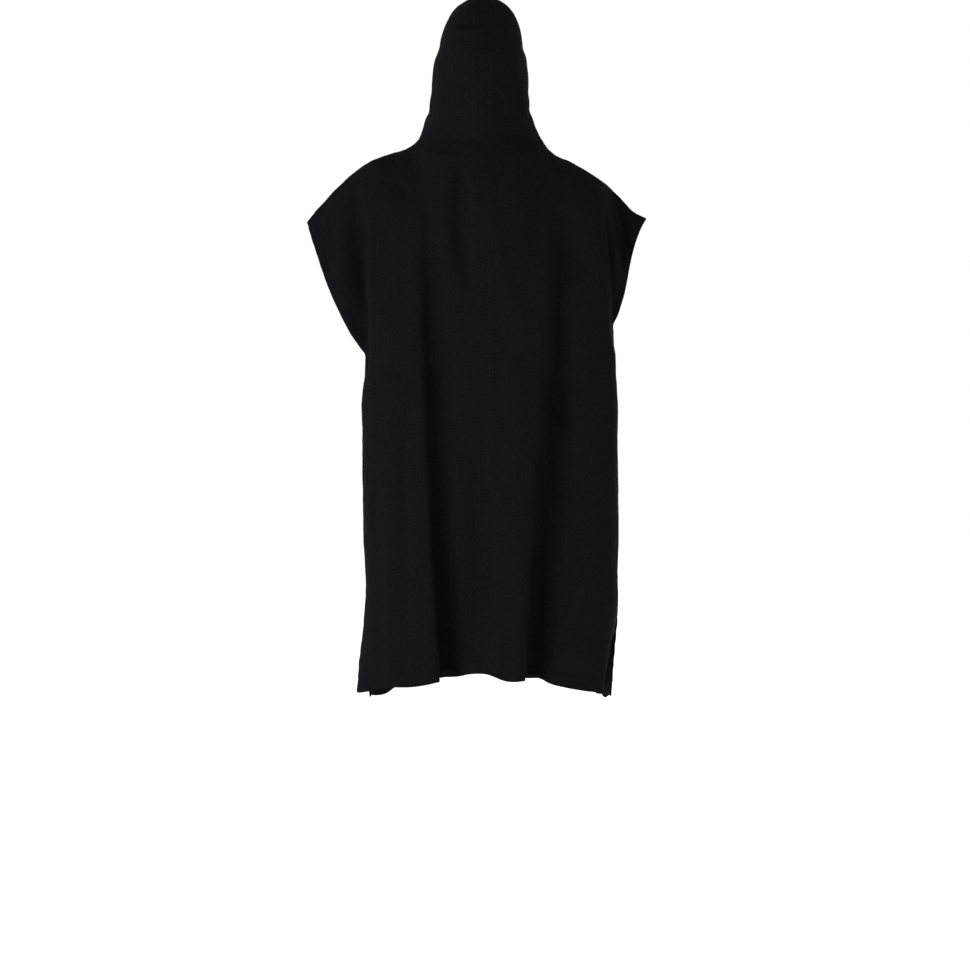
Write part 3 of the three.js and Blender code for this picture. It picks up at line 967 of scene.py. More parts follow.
@dataclass(frozen=True)
class Make:
    """How the cloth is made up, in millimetres.

    Seams pucker and hems rope in waves whose pitch drifts slowly along them. sleeve_end,
    sleeve_fade, vent_lead and vent_fade are shares of the drop, and rope_reach is in hem widths.
    """

    cloth: float = 2.5
    seam_lap: float = 0.3
    allowance: float = 10.0
    bottom_hem: float = 25.0
    sleeve_hem: float = 20.0
    face_hem: float = 20.0
    vent_hem: float = 10.0
    turned_over: float = 1.5
    raw_edge_lead: float = 1.2
    raw_edge_fade: float = 1.8
    stitch_groove: float = 0.7
    groove_half: float = 1.6
    edge_thinning: float = 0.5
    edge_reach: float = 2.4
    neck_roll: float = 0.05
    hood_roll: float = 0.12
    seam_reach: float = 5.0
    pucker: float = 0.3
    pucker_pitch: float = 17.0
    pucker_start: float = 3.0
    pucker_reach: float = 26.0
    pucker_wander: float = 0.35
    pucker_drift: float = 41.0
    rope: float = 0.4
    rope_pitch: float = 31.0
    rope_slant: float = 0.7
    rope_reach: float = 1.4
    rope_wander: float = 0.4
    rope_drift: float = 67.0
    crease_hold: float = 16.0
    rim_steps: int = 4
    rim_bulge: float = 0.8
    sleeve_end: float = 0.985
    sleeve_fade: float = 0.03
    vent_lead: float = 0.01
    vent_fade: float = 0.02
    half_sewn: float = 0.5
    least_line: int = 4


MAKE = Make()


def panel_borders(sheet: Sheet, down: np.ndarray) -> list[Border]:
    """The four borders of a panel.

    Args:
        sheet: The panel.
        down: Heights of its rows.

    Returns:
        Its top, bottom, left and right borders.
    """
    columns = sheet.points.shape[1]
    below = ease((down - MAKE.sleeve_end) / MAKE.sleeve_fade)
    opened = ease((down - CUT.vent_start + MAKE.vent_lead) / MAKE.vent_fade)
    turned = mix(MAKE.sleeve_hem, MAKE.vent_hem, below)[:, None]
    sewn = (below * (1 - opened))[:, None]
    all_across = np.ones((1, columns))
    return [
        Border(sheet.from_top, sheet.from_left, MAKE.allowance * all_across, all_across, roll=MAKE.neck_roll),
        Border(sheet.from_bottom, sheet.from_left, MAKE.bottom_hem * all_across, 0 * all_across),
        Border(sheet.from_left, sheet.from_top, turned, sewn),
        Border(sheet.from_right, sheet.from_top, turned, sewn),
    ]


def hood_borders(sheet: Sheet, hand: Hand) -> list[Border]:
    """The four borders of a half hood.

    Args:
        sheet: The half.
        hand: Which half, which says where its face edge is.

    Returns:
        Its crown, neck, left and right borders.
    """
    rows, columns = sheet.points.shape[:2]
    all_across = np.ones((1, columns))
    all_down = np.ones((rows, 1))
    allowance = MAKE.allowance * all_across
    face_on_left = 0.0 if hand is Hand.LEFT else 1.0
    made = []
    for away, is_face in ((sheet.from_left, face_on_left), (sheet.from_right, 1 - face_on_left)):
        turned = mix(MAKE.allowance, MAKE.face_hem, is_face) * all_down
        sewn = (1 - is_face) * all_down
        made.append(Border(away, sheet.from_top, turned, sewn, True, MAKE.hood_roll))
    return [
        Border(sheet.from_top, sheet.from_left, allowance, all_across, True, MAKE.hood_roll),
        Border(sheet.from_bottom, sheet.from_left, allowance, all_across, False, MAKE.neck_roll),
        *made,
    ]


@dataclass
class Cloth:
    """A sheet with its thickness, hems and seams, ready to be made a mesh."""

    sheet: Sheet
    borders: list[Border]
    creases: Callable[[np.ndarray], np.ndarray]
    outer: np.ndarray | None = None
    inner: np.ndarray | None = None

    def from_sewn(self, borders: Sequence[Border]) -> np.ndarray:
        """Distance of each point from the nearest of these borders that is sewn."""
        far = 1e3
        return np.min([border.away + far * (1 - border.sewn) for border in borders], axis=0)

    def drape(self, ripples: Sequence[tuple[Ripples, float]]) -> None:
        """Lay the small creases, ripples and puckers into the sheet.

        Args:
            ripples: Kinds of ripples, each with its height in millimetres.
        """
        points = self.sheet.points
        held = ease(self.from_sewn(self.borders) / MAKE.crease_hold)
        other_cloth = [border for border in self.borders if not border.same_creases]
        depth = self.creases(points) * ease(self.from_sewn(other_cloth) / MAKE.crease_hold)
        for kind, height in ripples:
            depth = depth - height * kind.at(points)
        for border in self.borders:
            away, along = border.away, border.along
            at_seam = border.sewn * ease(away / MAKE.pucker_start) * (1 - ease(away / MAKE.pucker_reach))
            wander = along / MAKE.pucker_pitch + MAKE.pucker_wander * np.sin(along / MAKE.pucker_drift)
            depth = depth + MAKE.pucker * at_seam * np.sin(2 * math.pi * wander)
            depth = depth + border.roll * border.sewn * (1 - ease(away / MAKE.seam_reach))
            at_hem = held * (1 - border.sewn) * (1 - ease(away / (MAKE.rope_reach * border.turned)))
            slant = (along + MAKE.rope_slant * away) / MAKE.rope_pitch
            slant = slant + MAKE.rope_wander * np.sin(along / MAKE.rope_drift)
            depth = depth + MAKE.rope * at_hem * np.sin(2 * math.pi * slant)
        self.sheet.points = points - self.sheet.normals * depth[..., None]

    def thicken(self) -> None:
        """Work out the cloth's outer and inner faces, with the turned hems on the inside."""
        half = MAKE.cloth / 2
        outward = np.full(self.sheet.points.shape[:2], half)
        inward = np.full_like(outward, half)
        doubled = np.zeros_like(outward)
        rounded = np.ones_like(outward)
        for border in self.borders:
            past = border.away - border.turned
            folded = 1 - ease((past + MAKE.raw_edge_lead) / MAKE.raw_edge_fade)
            doubled = np.maximum(doubled, folded)
            groove = np.exp(-((past / MAKE.groove_half) ** 2)) * (1 - border.sewn)
            outward = outward - MAKE.stitch_groove * groove
            thinned = (1 - border.sewn) * MAKE.edge_thinning * (1 - ease(border.away / MAKE.edge_reach))
            rounded = np.minimum(rounded, 1 - thinned)
        inward = inward + MAKE.turned_over * doubled
        self.outer = self.sheet.points + self.sheet.normals * (outward * rounded)[..., None]
        self.inner = self.sheet.points - self.sheet.normals * (inward * rounded)[..., None]

    def border_loop(self) -> tuple[np.ndarray, np.ndarray]:
        """The border's grid places in order round the sheet, and how free it is at each."""
        rows, columns = self.sheet.points.shape[:2]
        top, bottom, left, right = (
            np.broadcast_to(border.sewn, (rows, columns)) for border in self.borders
        )
        loop = [(j, 0, 1 - left[j, 0]) for j in range(rows - 1)]
        loop += [(rows - 1, i, 1 - bottom[rows - 1, i]) for i in range(columns - 1)]
        loop += [(j, columns - 1, 1 - right[j, columns - 1]) for j in range(rows - 1, 0, -1)]
        loop += [(0, i, 1 - top[0, i]) for i in range(columns - 1, 0, -1)]
        places = np.array([(j, i) for j, i, _ in loop])
        free = np.array([value for _, _, value in loop])
        return places, free

    def outward(self, j: np.ndarray, i: np.ndarray) -> np.ndarray:
        """Directions on the cloth that lead straight out over its border.

        Args:
            j: Rows of places on the border.
            i: Their columns.

        Returns:
            A direction of length 1 for each place.
        """
        rows, columns = self.sheet.points.shape[:2]
        inner = self.sheet.points[np.clip(j, 1, rows - 2), np.clip(i, 1, columns - 2)]
        normals = self.sheet.normals[j, i]
        out = self.sheet.points[j, i] - inner
        return unit(out - (out * normals).sum(-1, keepdims=True) * normals)

    def close_seams(self) -> None:
        """Let the sewn borders run past their seams by half a lap, so that no light shows through."""
        places, free = self.border_loop()
        j, i = places.T
        self.sheet.points[j, i] += self.outward(j, i) * (MAKE.seam_lap / 2 * (1 - free))[:, None]

    def mesh(self) -> bpy.types.Mesh:
        """The closed mesh of the cloth, in metres, with a UV map in metres of flat cloth."""
        rows, columns = self.sheet.points.shape[:2]
        count = rows * columns
        places, free = self.border_loop()
        j, i = places.T
        out = self.outward(j, i)
        upper, lower = self.outer[j, i], self.inner[j, i]
        centre, reach = (upper + lower) / 2, (upper - lower) / 2
        bulge = MAKE.rim_bulge * np.linalg.norm(reach, axis=-1) * free
        rings = []
        for k in range(1, MAKE.rim_steps):
            angle = math.pi * k / MAKE.rim_steps
            rings.append(centre + reach * math.cos(angle) + out * (bulge * math.sin(angle))[:, None])
        vertices = np.concatenate([self.outer.reshape(-1, 3), self.inner.reshape(-1, 3), *rings]) * MM
        at = np.arange(count).reshape(rows, columns)
        quads = np.stack([at[:-1, :-1], at[:-1, 1:], at[1:, 1:], at[1:, :-1]], axis=-1).reshape(-1, 4)
        faces = [quads, quads[:, ::-1] + count]
        flat_place = at[j, i]
        ring = [flat_place]
        ring += [2 * count + k * len(places) + np.arange(len(places)) for k in range(MAKE.rim_steps - 1)]
        ring += [flat_place + count]
        for first, second in zip(ring[:-1], ring[1:]):
            faces.append(np.stack([first, np.roll(first, -1), np.roll(second, -1), second], axis=-1))
        faces = np.concatenate(faces)
        across, along = self.sheet.from_left * MM, self.sheet.from_top * MM
        flat = np.stack([across.ravel(), along.ravel()], axis=-1)
        border_flat = flat[flat_place]
        uv = np.concatenate([flat, flat, *[border_flat] * (MAKE.rim_steps - 1)])
        mesh = bpy.data.meshes.new(self.sheet.name)
        mesh.from_pydata(vertices.tolist(), [], faces.tolist())
        layer = mesh.uv_layers.new(name="cloth")
        layer.data.foreach_set("uv", uv[faces.ravel()].ravel())
        mesh.polygons.foreach_set("use_smooth", [True] * len(mesh.polygons))
        mesh.update()
        return mesh

    def stitch_lines(self) -> list[np.ndarray]:
        """Lines of hem stitching on the outer face, in millimetres."""
        lines = []
        top, bottom, left, right = self.borders
        for border, by_row in ((bottom, False), (left, True), (right, True)):
            away = border.away if by_row else border.away.T
            outer = self.outer if by_row else self.outer.swapaxes(0, 1)
            turned = np.broadcast_to(border.turned if by_row else border.turned.T, away.shape)[:, 0]
            sewn = np.broadcast_to(border.sewn if by_row else border.sewn.T, away.shape)[:, 0]
            run = []
            for k in range(1, len(away) - 1):
                if sewn[k] < MAKE.half_sewn:
                    order = np.argsort(away[k])
                    run.append([np.interp(turned[k], away[k][order], outer[k][order, c]) for c in range(3)])
                elif run:
                    lines.append(np.array(run))
                    run = []
            if run:
                lines.append(np.array(run))
        return [line for line in lines if len(line) > MAKE.least_line]


# Small creases, a row for each, on both faces of the garment and on the hood


BACK_CREASES = (
    Crease("nape crease, upper", 33, -34, 43, -152, 8, 13, 16, 0),
    Crease("nape crease, lower", 40, -140, 18, -296, 9, 14, 16, -3),
    Crease("left pipe's floor, upper", 98, -150, 86, -580, 17, 11, 28, -2),
    Crease("left pipe's floor, lower", 95, -430, 16, -1650, 30, 11, 21, 0),
    Crease("left pipe's wide floor", 78, -200, 66, -700, 10, 16, 28, 0),
    Crease("right pipe's floor, upper", -149, -140, -147, -660, 21, 15, 24, 0),
    Crease("right pipe's floor, lower", -125, -450, -74, -1466, 19, 10, 26, 0),
    Crease("right pipe's wide floor", -146, -420, -136, -980, 11, 22, 34, 0),
    Crease("kink in the right pipe", -130, -496, -160, -530, 5, 8, 8, 0),
    Crease("hollow by the right shoulder", -164, -124, -174, -290, 15, 24, 24, 0),
    Crease("dent beside the nape, right", -90, -86, -118, -92, 4, 10, 10, 0),
    Crease("left shoulder's bright fold", 214, -34, 180, -56, -5, 12, 12, 0),
    Crease("dent below the left shoulder", 168, -78, 128, -106, 5, 14, 12, 0),
    Crease("left wing's crease", 225, -96, 221, -392, 2, 10, 6, 2),
    Crease("left wing's second crease", 262, -130, 276, -300, -3, 14, 12, 0),
    Crease("right wing's crease", -232, -120, -252, -340, 7, 4, 6, 3),
    Crease("right wing's outer crease", -249, -78, -284, -226, 8, 4, 8, 4),
    Crease("drag from the neck, left", 70, -20, 150, -66, 3, 16, 14, 6),
    Crease("drag from the neck, right", -60, -24, -150, -92, 2.5, 14, 16, -6),
    Crease("yoke roll beside the nape", -10, -44, -22, -250, -4, 22, 24, 4),
    Crease("left side pipe", 142, -420, 148, -1030, 4, 16, 14, 4),
    Crease("left edge pipe", 196, -470, 188, -1030, 3, 14, 12, 0),
    Crease("middle pipe", 20, -480, 14, -1060, 15, 22, 34, -3),
    Crease("middle pipe's far side", -2, -500, -6, -980, 13, 28, 20, 0),
    Crease("middle hollow", -24, -300, -28, -900, 5, 56, 30, 0),
    Crease("middle roll", -62, -420, -58, -1030, -6, 26, 22, 5),
    Crease("right side pipe", -196, -330, -204, -1030, 3, 18, 16, 4),
    Crease("right edge pipe", -240, -400, -232, -1030, -4, 16, 18, 0),
    Crease("waist drag, right", -120, -380, -232, -430, 3, 12, 10, 8),
    Crease("waist drag, left", 98, -470, 200, -430, 3, 12, 10, -8),
)

FRONT_CREASES = (
    Crease("collar drag, left", 40, -70, 122, -150, 5, 16, 14, 6),
    Crease("collar drag, right", -36, -70, -126, -164, 5, 14, 16, -6),
    Crease("chest crease", 8, -80, -8, -330, 5, 14, 18, 6),
    Crease("left pipe's floor", 134, -240, 112, -1040, 7, 20, 9, 5),
    Crease("right pipe's floor", -146, -260, -148, -1040, 7, 9, 20, -5),
    Crease("centre pipe's floor", -12, -420, -24, -1040, 5, 16, 14, 4),
    Crease("left of the middle", 58, -380, 52, -1040, -4, 24, 22, 0),
    Crease("right of the middle", -86, -420, -84, -1040, -4, 22, 24, 0),
    Crease("left edge pipe", 190, -430, 184, -1040, 4, 14, 12, 3),
    Crease("right edge pipe", -222, -450, -214, -1040, 4, 12, 14, -3),
    Crease("left wing's crease", 226, -100, 222, -392, 6, 8, 12, 2),
    Crease("left wing's second crease", 254, -130, 272, -300, 4, 12, 10, 0),
    Crease("right wing's crease", -234, -104, -252, -340, 6, 12, 8, -2),
    Crease("right wing's second crease", -262, -120, -280, -270, 4, 10, 12, 0),
    Crease("waist drag, left", 110, -420, 210, -372, 3, 12, 10, 8),
    Crease("waist drag, right", -120, -440, -232, -380, 3, 10, 12, -8),
)

HOOD_BACK_CREASES = (
    Crease("crown crease", 42, 214, 4, 215, 11, 5, 6, -2),
    Crease("nape gather, left", 34, 8, 26, 92, 4, 12, 12, 4),
    Crease("nape gather, right", -40, 4, -34, 84, 4, 12, 12, -4),
    Crease("crown drag, left", 20, 214, 62, 170, 3, 12, 12, 5),
    Crease("crown drag, right", -8, 214, -58, 178, 3, 12, 12, -5),
)

# The same for the sides of the hood, by y
HOOD_SIDE_CREASES = (
    Crease("jaw fold", 52, 40, -84, 96, 5, 14, 16, 10),
    Crease("cheek fold", 30, 92, -92, 150, 4, 14, 14, -8),
    Crease("temple fold", 40, 170, -80, 204, 3, 12, 14, 6),
    Crease("collar gather", -20, -20, -60, 60, 4, 14, 12, 4),
)


# How far behind the middle, and how far out from it, each set comes in fully
HOOD_BEHIND = 40.0
HOOD_BESIDE_START = 30.0
HOOD_BESIDE_FADE = 30.0


def hood_creases(points: np.ndarray) -> np.ndarray:
    """How far the hood's creases sink its cloth: one set behind, one at the sides."""
    behind = ease(points[..., 1] / HOOD_BEHIND)
    beside = ease((np.abs(points[..., 0]) - HOOD_BESIDE_START) / HOOD_BESIDE_FADE)
    at_back = crease_depth(HOOD_BACK_CREASES, points) * behind
    return at_back + crease_depth(HOOD_SIDE_CREASES, points, level=1) * beside


# Finishes


def linear(hex_colour: str) -> tuple[float, float, float, float]:
    """The linear colour of an sRGB hex value such as #16161a."""
    levels = [int(hex_colour[k : k + 2], 16) / 255 for k in (1, 3, 5)]
    made = [v / 12.92 if v <= 0.04045 else ((v + 0.055) / 1.055) ** 2.4 for v in levels]
    return (*made, 1.0)


def add(
    tree: bpy.types.NodeTree, kind: str, inputs: dict | None = None, **settings: object
) -> bpy.types.Node:
    """Add a node.

    Args:
        tree: The tree to add it to.
        kind: The node's type.
        inputs: For each input, by name or number, its value or the output that it takes.
        settings: The node's own properties.

    Returns:
        The node.
    """
    node = tree.nodes.new(kind)
    for key, value in settings.items():
        setattr(node, key, value)
    for key, value in (inputs or {}).items():
        if isinstance(value, bpy.types.NodeSocket):
            tree.links.new(value, node.inputs[key])
        else:
            node.inputs[key].default_value = value
    return node


def blank(name: str) -> tuple[bpy.types.Material, bpy.types.NodeTree]:
    """A new material and its node tree, which is empty."""
    made = bpy.data.materials.new(name)
    made.use_nodes = True
    made.node_tree.nodes.clear()
    return made, made.node_tree


# A colour mix's sockets, by number, because its other sockets have the same names
MIX_FACTOR, MIX_A, MIX_B = 0, 6, 7
MIX_COLOUR = 2


@dataclass(frozen=True)
class Terry:
    """Black cotton terry: loops pulled up from a woven base, which trap the light, so that it
    looks very dark and dull, with a faint bloom where the loops are seen from the side. The hollows
    between the loops are painted darker than the loop tops: painted shade.

    Loops stand about 1.5 mm apart. They are drawn 3 mm apart, which is as fine as shows.
    """

    name: str = "black cotton terry"
    # The first colour is painted shade in the hollows between the loops; the second is the loop tops' own
    # colour.
    ground: str = "#080809"
    loop: str = "#101012"
    loop_pitch: float = 0.003
    clump_size: float = 0.013
    patch_size: float = 0.09
    loop_height: float = 0.0011
    clump_height: float = 0.0016
    roughness: float = 0.95
    sheen: float = 0.012
    sheen_roughness: float = 0.6
    bloom: str = "#8c8c94"
    gloss: float = 0.02

    def material(self) -> bpy.types.Material:
        """The material, with its loops laid out on the cloth's own UV map in metres."""
        made, tree = blank(self.name)
        place = add(tree, "ShaderNodeUVMap", uv_map="cloth").outputs["UV"]
        solid = add(tree, "ShaderNodeTexCoord").outputs["Object"]
        loops = add(
            tree,
            "ShaderNodeTexVoronoi",
            {"Vector": place, "Scale": 1 / self.loop_pitch, "Randomness": 0.75},
            voronoi_dimensions="2D",
        )
        clumps = add(
            tree,
            "ShaderNodeTexNoise",
            {"Vector": solid, "Scale": 1 / self.clump_size, "Detail": 3.0, "Roughness": 0.6},
        )
        patches = add(
            tree,
            "ShaderNodeTexNoise",
            {"Vector": solid, "Scale": 1 / self.patch_size, "Detail": 2.0, "Roughness": 0.5},
        )
        tops = add(
            tree,
            "ShaderNodeMapRange",
            {
                "Value": loops.outputs["Distance"],
                "From Min": 0.0,
                "From Max": 0.75,
                "To Min": 1.0,
                "To Max": 0.0,
            },
            interpolation_type="SMOOTHSTEP",
        )
        spread = add(
            tree,
            "ShaderNodeMapRange",
            {"Value": clumps.outputs["Fac"], "From Min": 0.3, "From Max": 0.7, "To Min": 0.55, "To Max": 1.0},
        )
        shade = add(
            tree,
            "ShaderNodeMapRange",
            {"Value": patches.outputs["Fac"], "From Min": 0.3, "From Max": 0.7, "To Min": 0.8, "To Max": 1.0},
        )
        worn = add(
            tree,
            "ShaderNodeMath",
            {0: spread.outputs["Result"], 1: shade.outputs["Result"]},
            operation="MULTIPLY",
        )
        # Painted shade: how far each place is from the darker hollows between the loops towards the loop
        # tops, times the random tone of the clumps and patches.
        hollow_shade_and_tone = add(
            tree, "ShaderNodeMath", {0: tops.outputs["Result"], 1: worn.outputs[0]}, operation="MULTIPLY"
        )
        # Mixes the painted shade of the hollows with the loops' own colour.
        colour = add(
            tree,
            "ShaderNodeMix",
            {MIX_FACTOR: hollow_shade_and_tone.outputs[0], MIX_A: linear(self.ground), MIX_B: linear(self.loop)},
            data_type="RGBA",
        )
        rough_ground = add(
            tree,
            "ShaderNodeBump",
            {"Height": clumps.outputs["Fac"], "Distance": self.clump_height, "Strength": 0.8},
        )
        pile = add(
            tree,
            "ShaderNodeBump",
            {
                "Height": tops.outputs["Result"],
                "Distance": self.loop_height,
                "Strength": 0.8,
                "Normal": rough_ground.outputs["Normal"],
            },
        )
        shader = add(
            tree,
            "ShaderNodeBsdfPrincipled",
            {
                "Base Color": colour.outputs[MIX_COLOUR],
                "Normal": pile.outputs["Normal"],
                "Roughness": self.roughness,
                "Specular IOR Level": self.gloss,
                "Sheen Weight": self.sheen,
                "Sheen Roughness": self.sheen_roughness,
                "Sheen Tint": linear(self.bloom),
            },
        )
        add(tree, "ShaderNodeOutputMaterial", {"Surface": shader.outputs["BSDF"]})
        return made


@dataclass(frozen=True)
class SewingThread:
    """Black cotton sewing thread: two plies twisted together, a little smoother than the terry."""

    name: str = "black cotton thread"
    ply: str = "#0b0b0c"
    # Painted shade in the grooves between the plies, darker than the plies' own colour.
    groove: str = "#060607"
    twist_pitch: float = 0.0006
    roughness: float = 0.8
    gloss: float = 0.03

    def material(self) -> bpy.types.Material:
        """The material, with the plies' twist as slanting bands, painted darker in the grooves between the
        plies: painted shade.
        """
        made, tree = blank(self.name)
        solid = add(tree, "ShaderNodeTexCoord").outputs["Object"]
        # A wave texture's bands are a twentieth of pi apart at a scale of 1
        bands = add(
            tree,
            "ShaderNodeTexWave",
            {"Vector": solid, "Scale": math.pi / 10 / self.twist_pitch, "Distortion": 0.4},
            bands_direction="DIAGONAL",
        )
        # Painted shade: the bands darken towards the grooves between the plies.
        colour = add(
            tree,
            "ShaderNodeMix",
            {MIX_FACTOR: bands.outputs["Fac"], MIX_A: linear(self.groove), MIX_B: linear(self.ply)},
            data_type="RGBA",
        )
        twist = add(
            tree, "ShaderNodeBump", {"Height": bands.outputs["Fac"], "Distance": 0.0001, "Strength": 0.6}
        )
        shader = add(
            tree,
            "ShaderNodeBsdfPrincipled",
            {
                "Base Color": colour.outputs[MIX_COLOUR],
                "Normal": twist.outputs["Normal"],
                "Roughness": self.roughness,
                "Specular IOR Level": self.gloss,
            },
        )
        add(tree, "ShaderNodeOutputMaterial", {"Surface": shader.outputs["BSDF"]})
        return made


@dataclass(frozen=True)
class LightTable:
    """The matt white top of a light table, which glows a little: even, pale and without gloss."""

    name: str = "matt white light table"
    pale: str = "#fdfdfc"
    shaded: str = "#fbfbfa"
    cloud: float = 0.6
    roughness: float = 0.95
    glow: float = 0.6

    def material(self) -> bpy.types.Material:
        """The material, with a barely seen unevenness."""
        made, tree = blank(self.name)
        solid = add(tree, "ShaderNodeTexCoord").outputs["Object"]
        clouds = add(tree, "ShaderNodeTexNoise", {"Vector": solid, "Scale": 1 / self.cloud})
        colour = add(
            tree,
            "ShaderNodeMix",
            {MIX_FACTOR: clouds.outputs["Fac"], MIX_A: linear(self.shaded), MIX_B: linear(self.pale)},
            data_type="RGBA",
        )
        shader = add(
            tree,
            "ShaderNodeBsdfPrincipled",
            {
                "Base Color": colour.outputs[MIX_COLOUR],
                "Roughness": self.roughness,
                "Specular IOR Level": 0.1,
                "Emission Color": linear(self.pale),
                "Emission Strength": self.glow,
            },
        )
        add(tree, "ShaderNodeOutputMaterial", {"Surface": shader.outputs["BSDF"]})
        return made


# Placing pieces in the scene


def put(name: str, data: bpy.types.ID) -> bpy.types.Object:
    """A new object in the scene, at the origin."""
    made = bpy.data.objects.new(name, data)
    bpy.context.scene.collection.objects.link(made)
    return made


# Hem stitching


@dataclass
class HemStitching:
    """Straight lockstitch along the hems, made by Geometry Nodes on lines over the cloth."""

    name: str = "hem_stitching"
    pitch: float = 0.004
    length: float = 0.0033
    radius: float = 0.00032
    uneven: float = 0.12
    seed: int = 7

    def lines_object(self, lines: Sequence[np.ndarray]) -> bpy.types.Object:
        """An object whose mesh has only the stitching lines' edges.

        Args:
            lines: Points of each line, in millimetres.
        """
        vertices, edges = [], []
        for line in lines:
            start = len(vertices)
            vertices.extend((line * MM).tolist())
            edges.extend((start + k, start + k + 1) for k in range(len(line) - 1))
        mesh = bpy.data.meshes.new(self.name)
        mesh.from_pydata(vertices, edges, [])
        return put(self.name, mesh)

    def tree(self) -> tuple[bpy.types.NodeTree, dict[str, str]]:
        """The node tree that lays stitches on lines.

        Returns:
            The tree, and the identifier of each of its inputs by name.
        """
        tree = bpy.data.node_groups.new("stitches on lines", "GeometryNodeTree")
        face = tree.interface
        face.new_socket("Geometry", in_out="INPUT", socket_type="NodeSocketGeometry")
        names = (
            ("Pitch", "NodeSocketFloat"),
            ("Length", "NodeSocketFloat"),
            ("Radius", "NodeSocketFloat"),
            ("Uneven", "NodeSocketFloat"),
            ("Seed", "NodeSocketInt"),
            ("Thread", "NodeSocketMaterial"),
        )
        sockets = {n: face.new_socket(n, in_out="INPUT", socket_type=kind).identifier for n, kind in names}
        face.new_socket("Geometry", in_out="OUTPUT", socket_type="NodeSocketGeometry")
        given = add(tree, "NodeGroupInput").outputs
        curve = add(tree, "GeometryNodeMeshToCurve", {"Mesh": given["Geometry"]})
        spaced = add(
            tree,
            "GeometryNodeResampleCurve",
            {"Curve": curve.outputs["Curve"], "Length": given["Pitch"]},
            mode="LENGTH",
        )
        along = add(tree, "GeometryNodeInputTangent")
        turned = add(
            tree, "FunctionNodeAlignRotationToVector", {"Vector": along.outputs["Tangent"]}, axis="Z"
        )
        bead = add(tree, "GeometryNodeMeshUVSphere", {"Segments": 6, "Rings": 6, "Radius": 0.5})
        width = add(tree, "ShaderNodeMath", {0: given["Radius"], 1: 2.0}, operation="MULTIPLY")
        form = add(
            tree, "ShaderNodeCombineXYZ", {"X": width.outputs[0], "Y": width.outputs[0], "Z": given["Length"]}
        )
        stitch = add(
            tree, "GeometryNodeTransform", {"Geometry": bead.outputs["Mesh"], "Scale": form.outputs["Vector"]}
        )
        least = add(tree, "ShaderNodeMath", {0: 1.0, 1: given["Uneven"]}, operation="SUBTRACT")
        most = add(tree, "ShaderNodeMath", {0: 1.0, 1: given["Uneven"]}, operation="ADD")
        size = add(tree, "FunctionNodeRandomValue", {"Seed": given["Seed"]}, data_type="FLOAT")
        tree.links.new(least.outputs[0], size.inputs[2])
        tree.links.new(most.outputs[0], size.inputs[3])
        laid = add(
            tree,
            "GeometryNodeInstanceOnPoints",
            {
                "Points": spaced.outputs["Curve"],
                "Instance": stitch.outputs["Geometry"],
                "Rotation": turned.outputs["Rotation"],
                "Scale": size.outputs[1],
            },
        )
        real = add(tree, "GeometryNodeRealizeInstances", {"Geometry": laid.outputs["Instances"]})
        dressed = add(
            tree,
            "GeometryNodeSetMaterial",
            {"Geometry": real.outputs["Geometry"], "Material": given["Thread"]},
        )
        add(tree, "NodeGroupOutput", {"Geometry": dressed.outputs["Geometry"]})
        return tree, sockets

    def make(self, lines: Sequence[np.ndarray], thread: bpy.types.Material) -> bpy.types.Object:
        """The stitching as one plain mesh.

        Args:
            lines: Points of each line, in millimetres.
            thread: The thread's material.

        Returns:
            The stitching's object, at the origin.
        """
        on_lines = self.lines_object(lines)
        tree, sockets = self.tree()
        modifier = on_lines.modifiers.new("stitches", "NODES")
        modifier.node_group = tree
        modifier[sockets["Pitch"]] = self.pitch
        modifier[sockets["Length"]] = self.length
        modifier[sockets["Radius"]] = self.radius
        modifier[sockets["Uneven"]] = self.uneven
        modifier[sockets["Seed"]] = self.seed
        modifier[sockets["Thread"]] = thread
        evaluated = on_lines.evaluated_get(bpy.context.evaluated_depsgraph_get())
        plain = bpy.data.meshes.new_from_object(evaluated)
        on_lines.modifiers.remove(modifier)
        on_lines.data = plain
        if not plain.materials:
            plain.materials.append(thread)
        plain.polygons.foreach_set("use_smooth", [True] * len(plain.polygons))
        return on_lines


# The garment


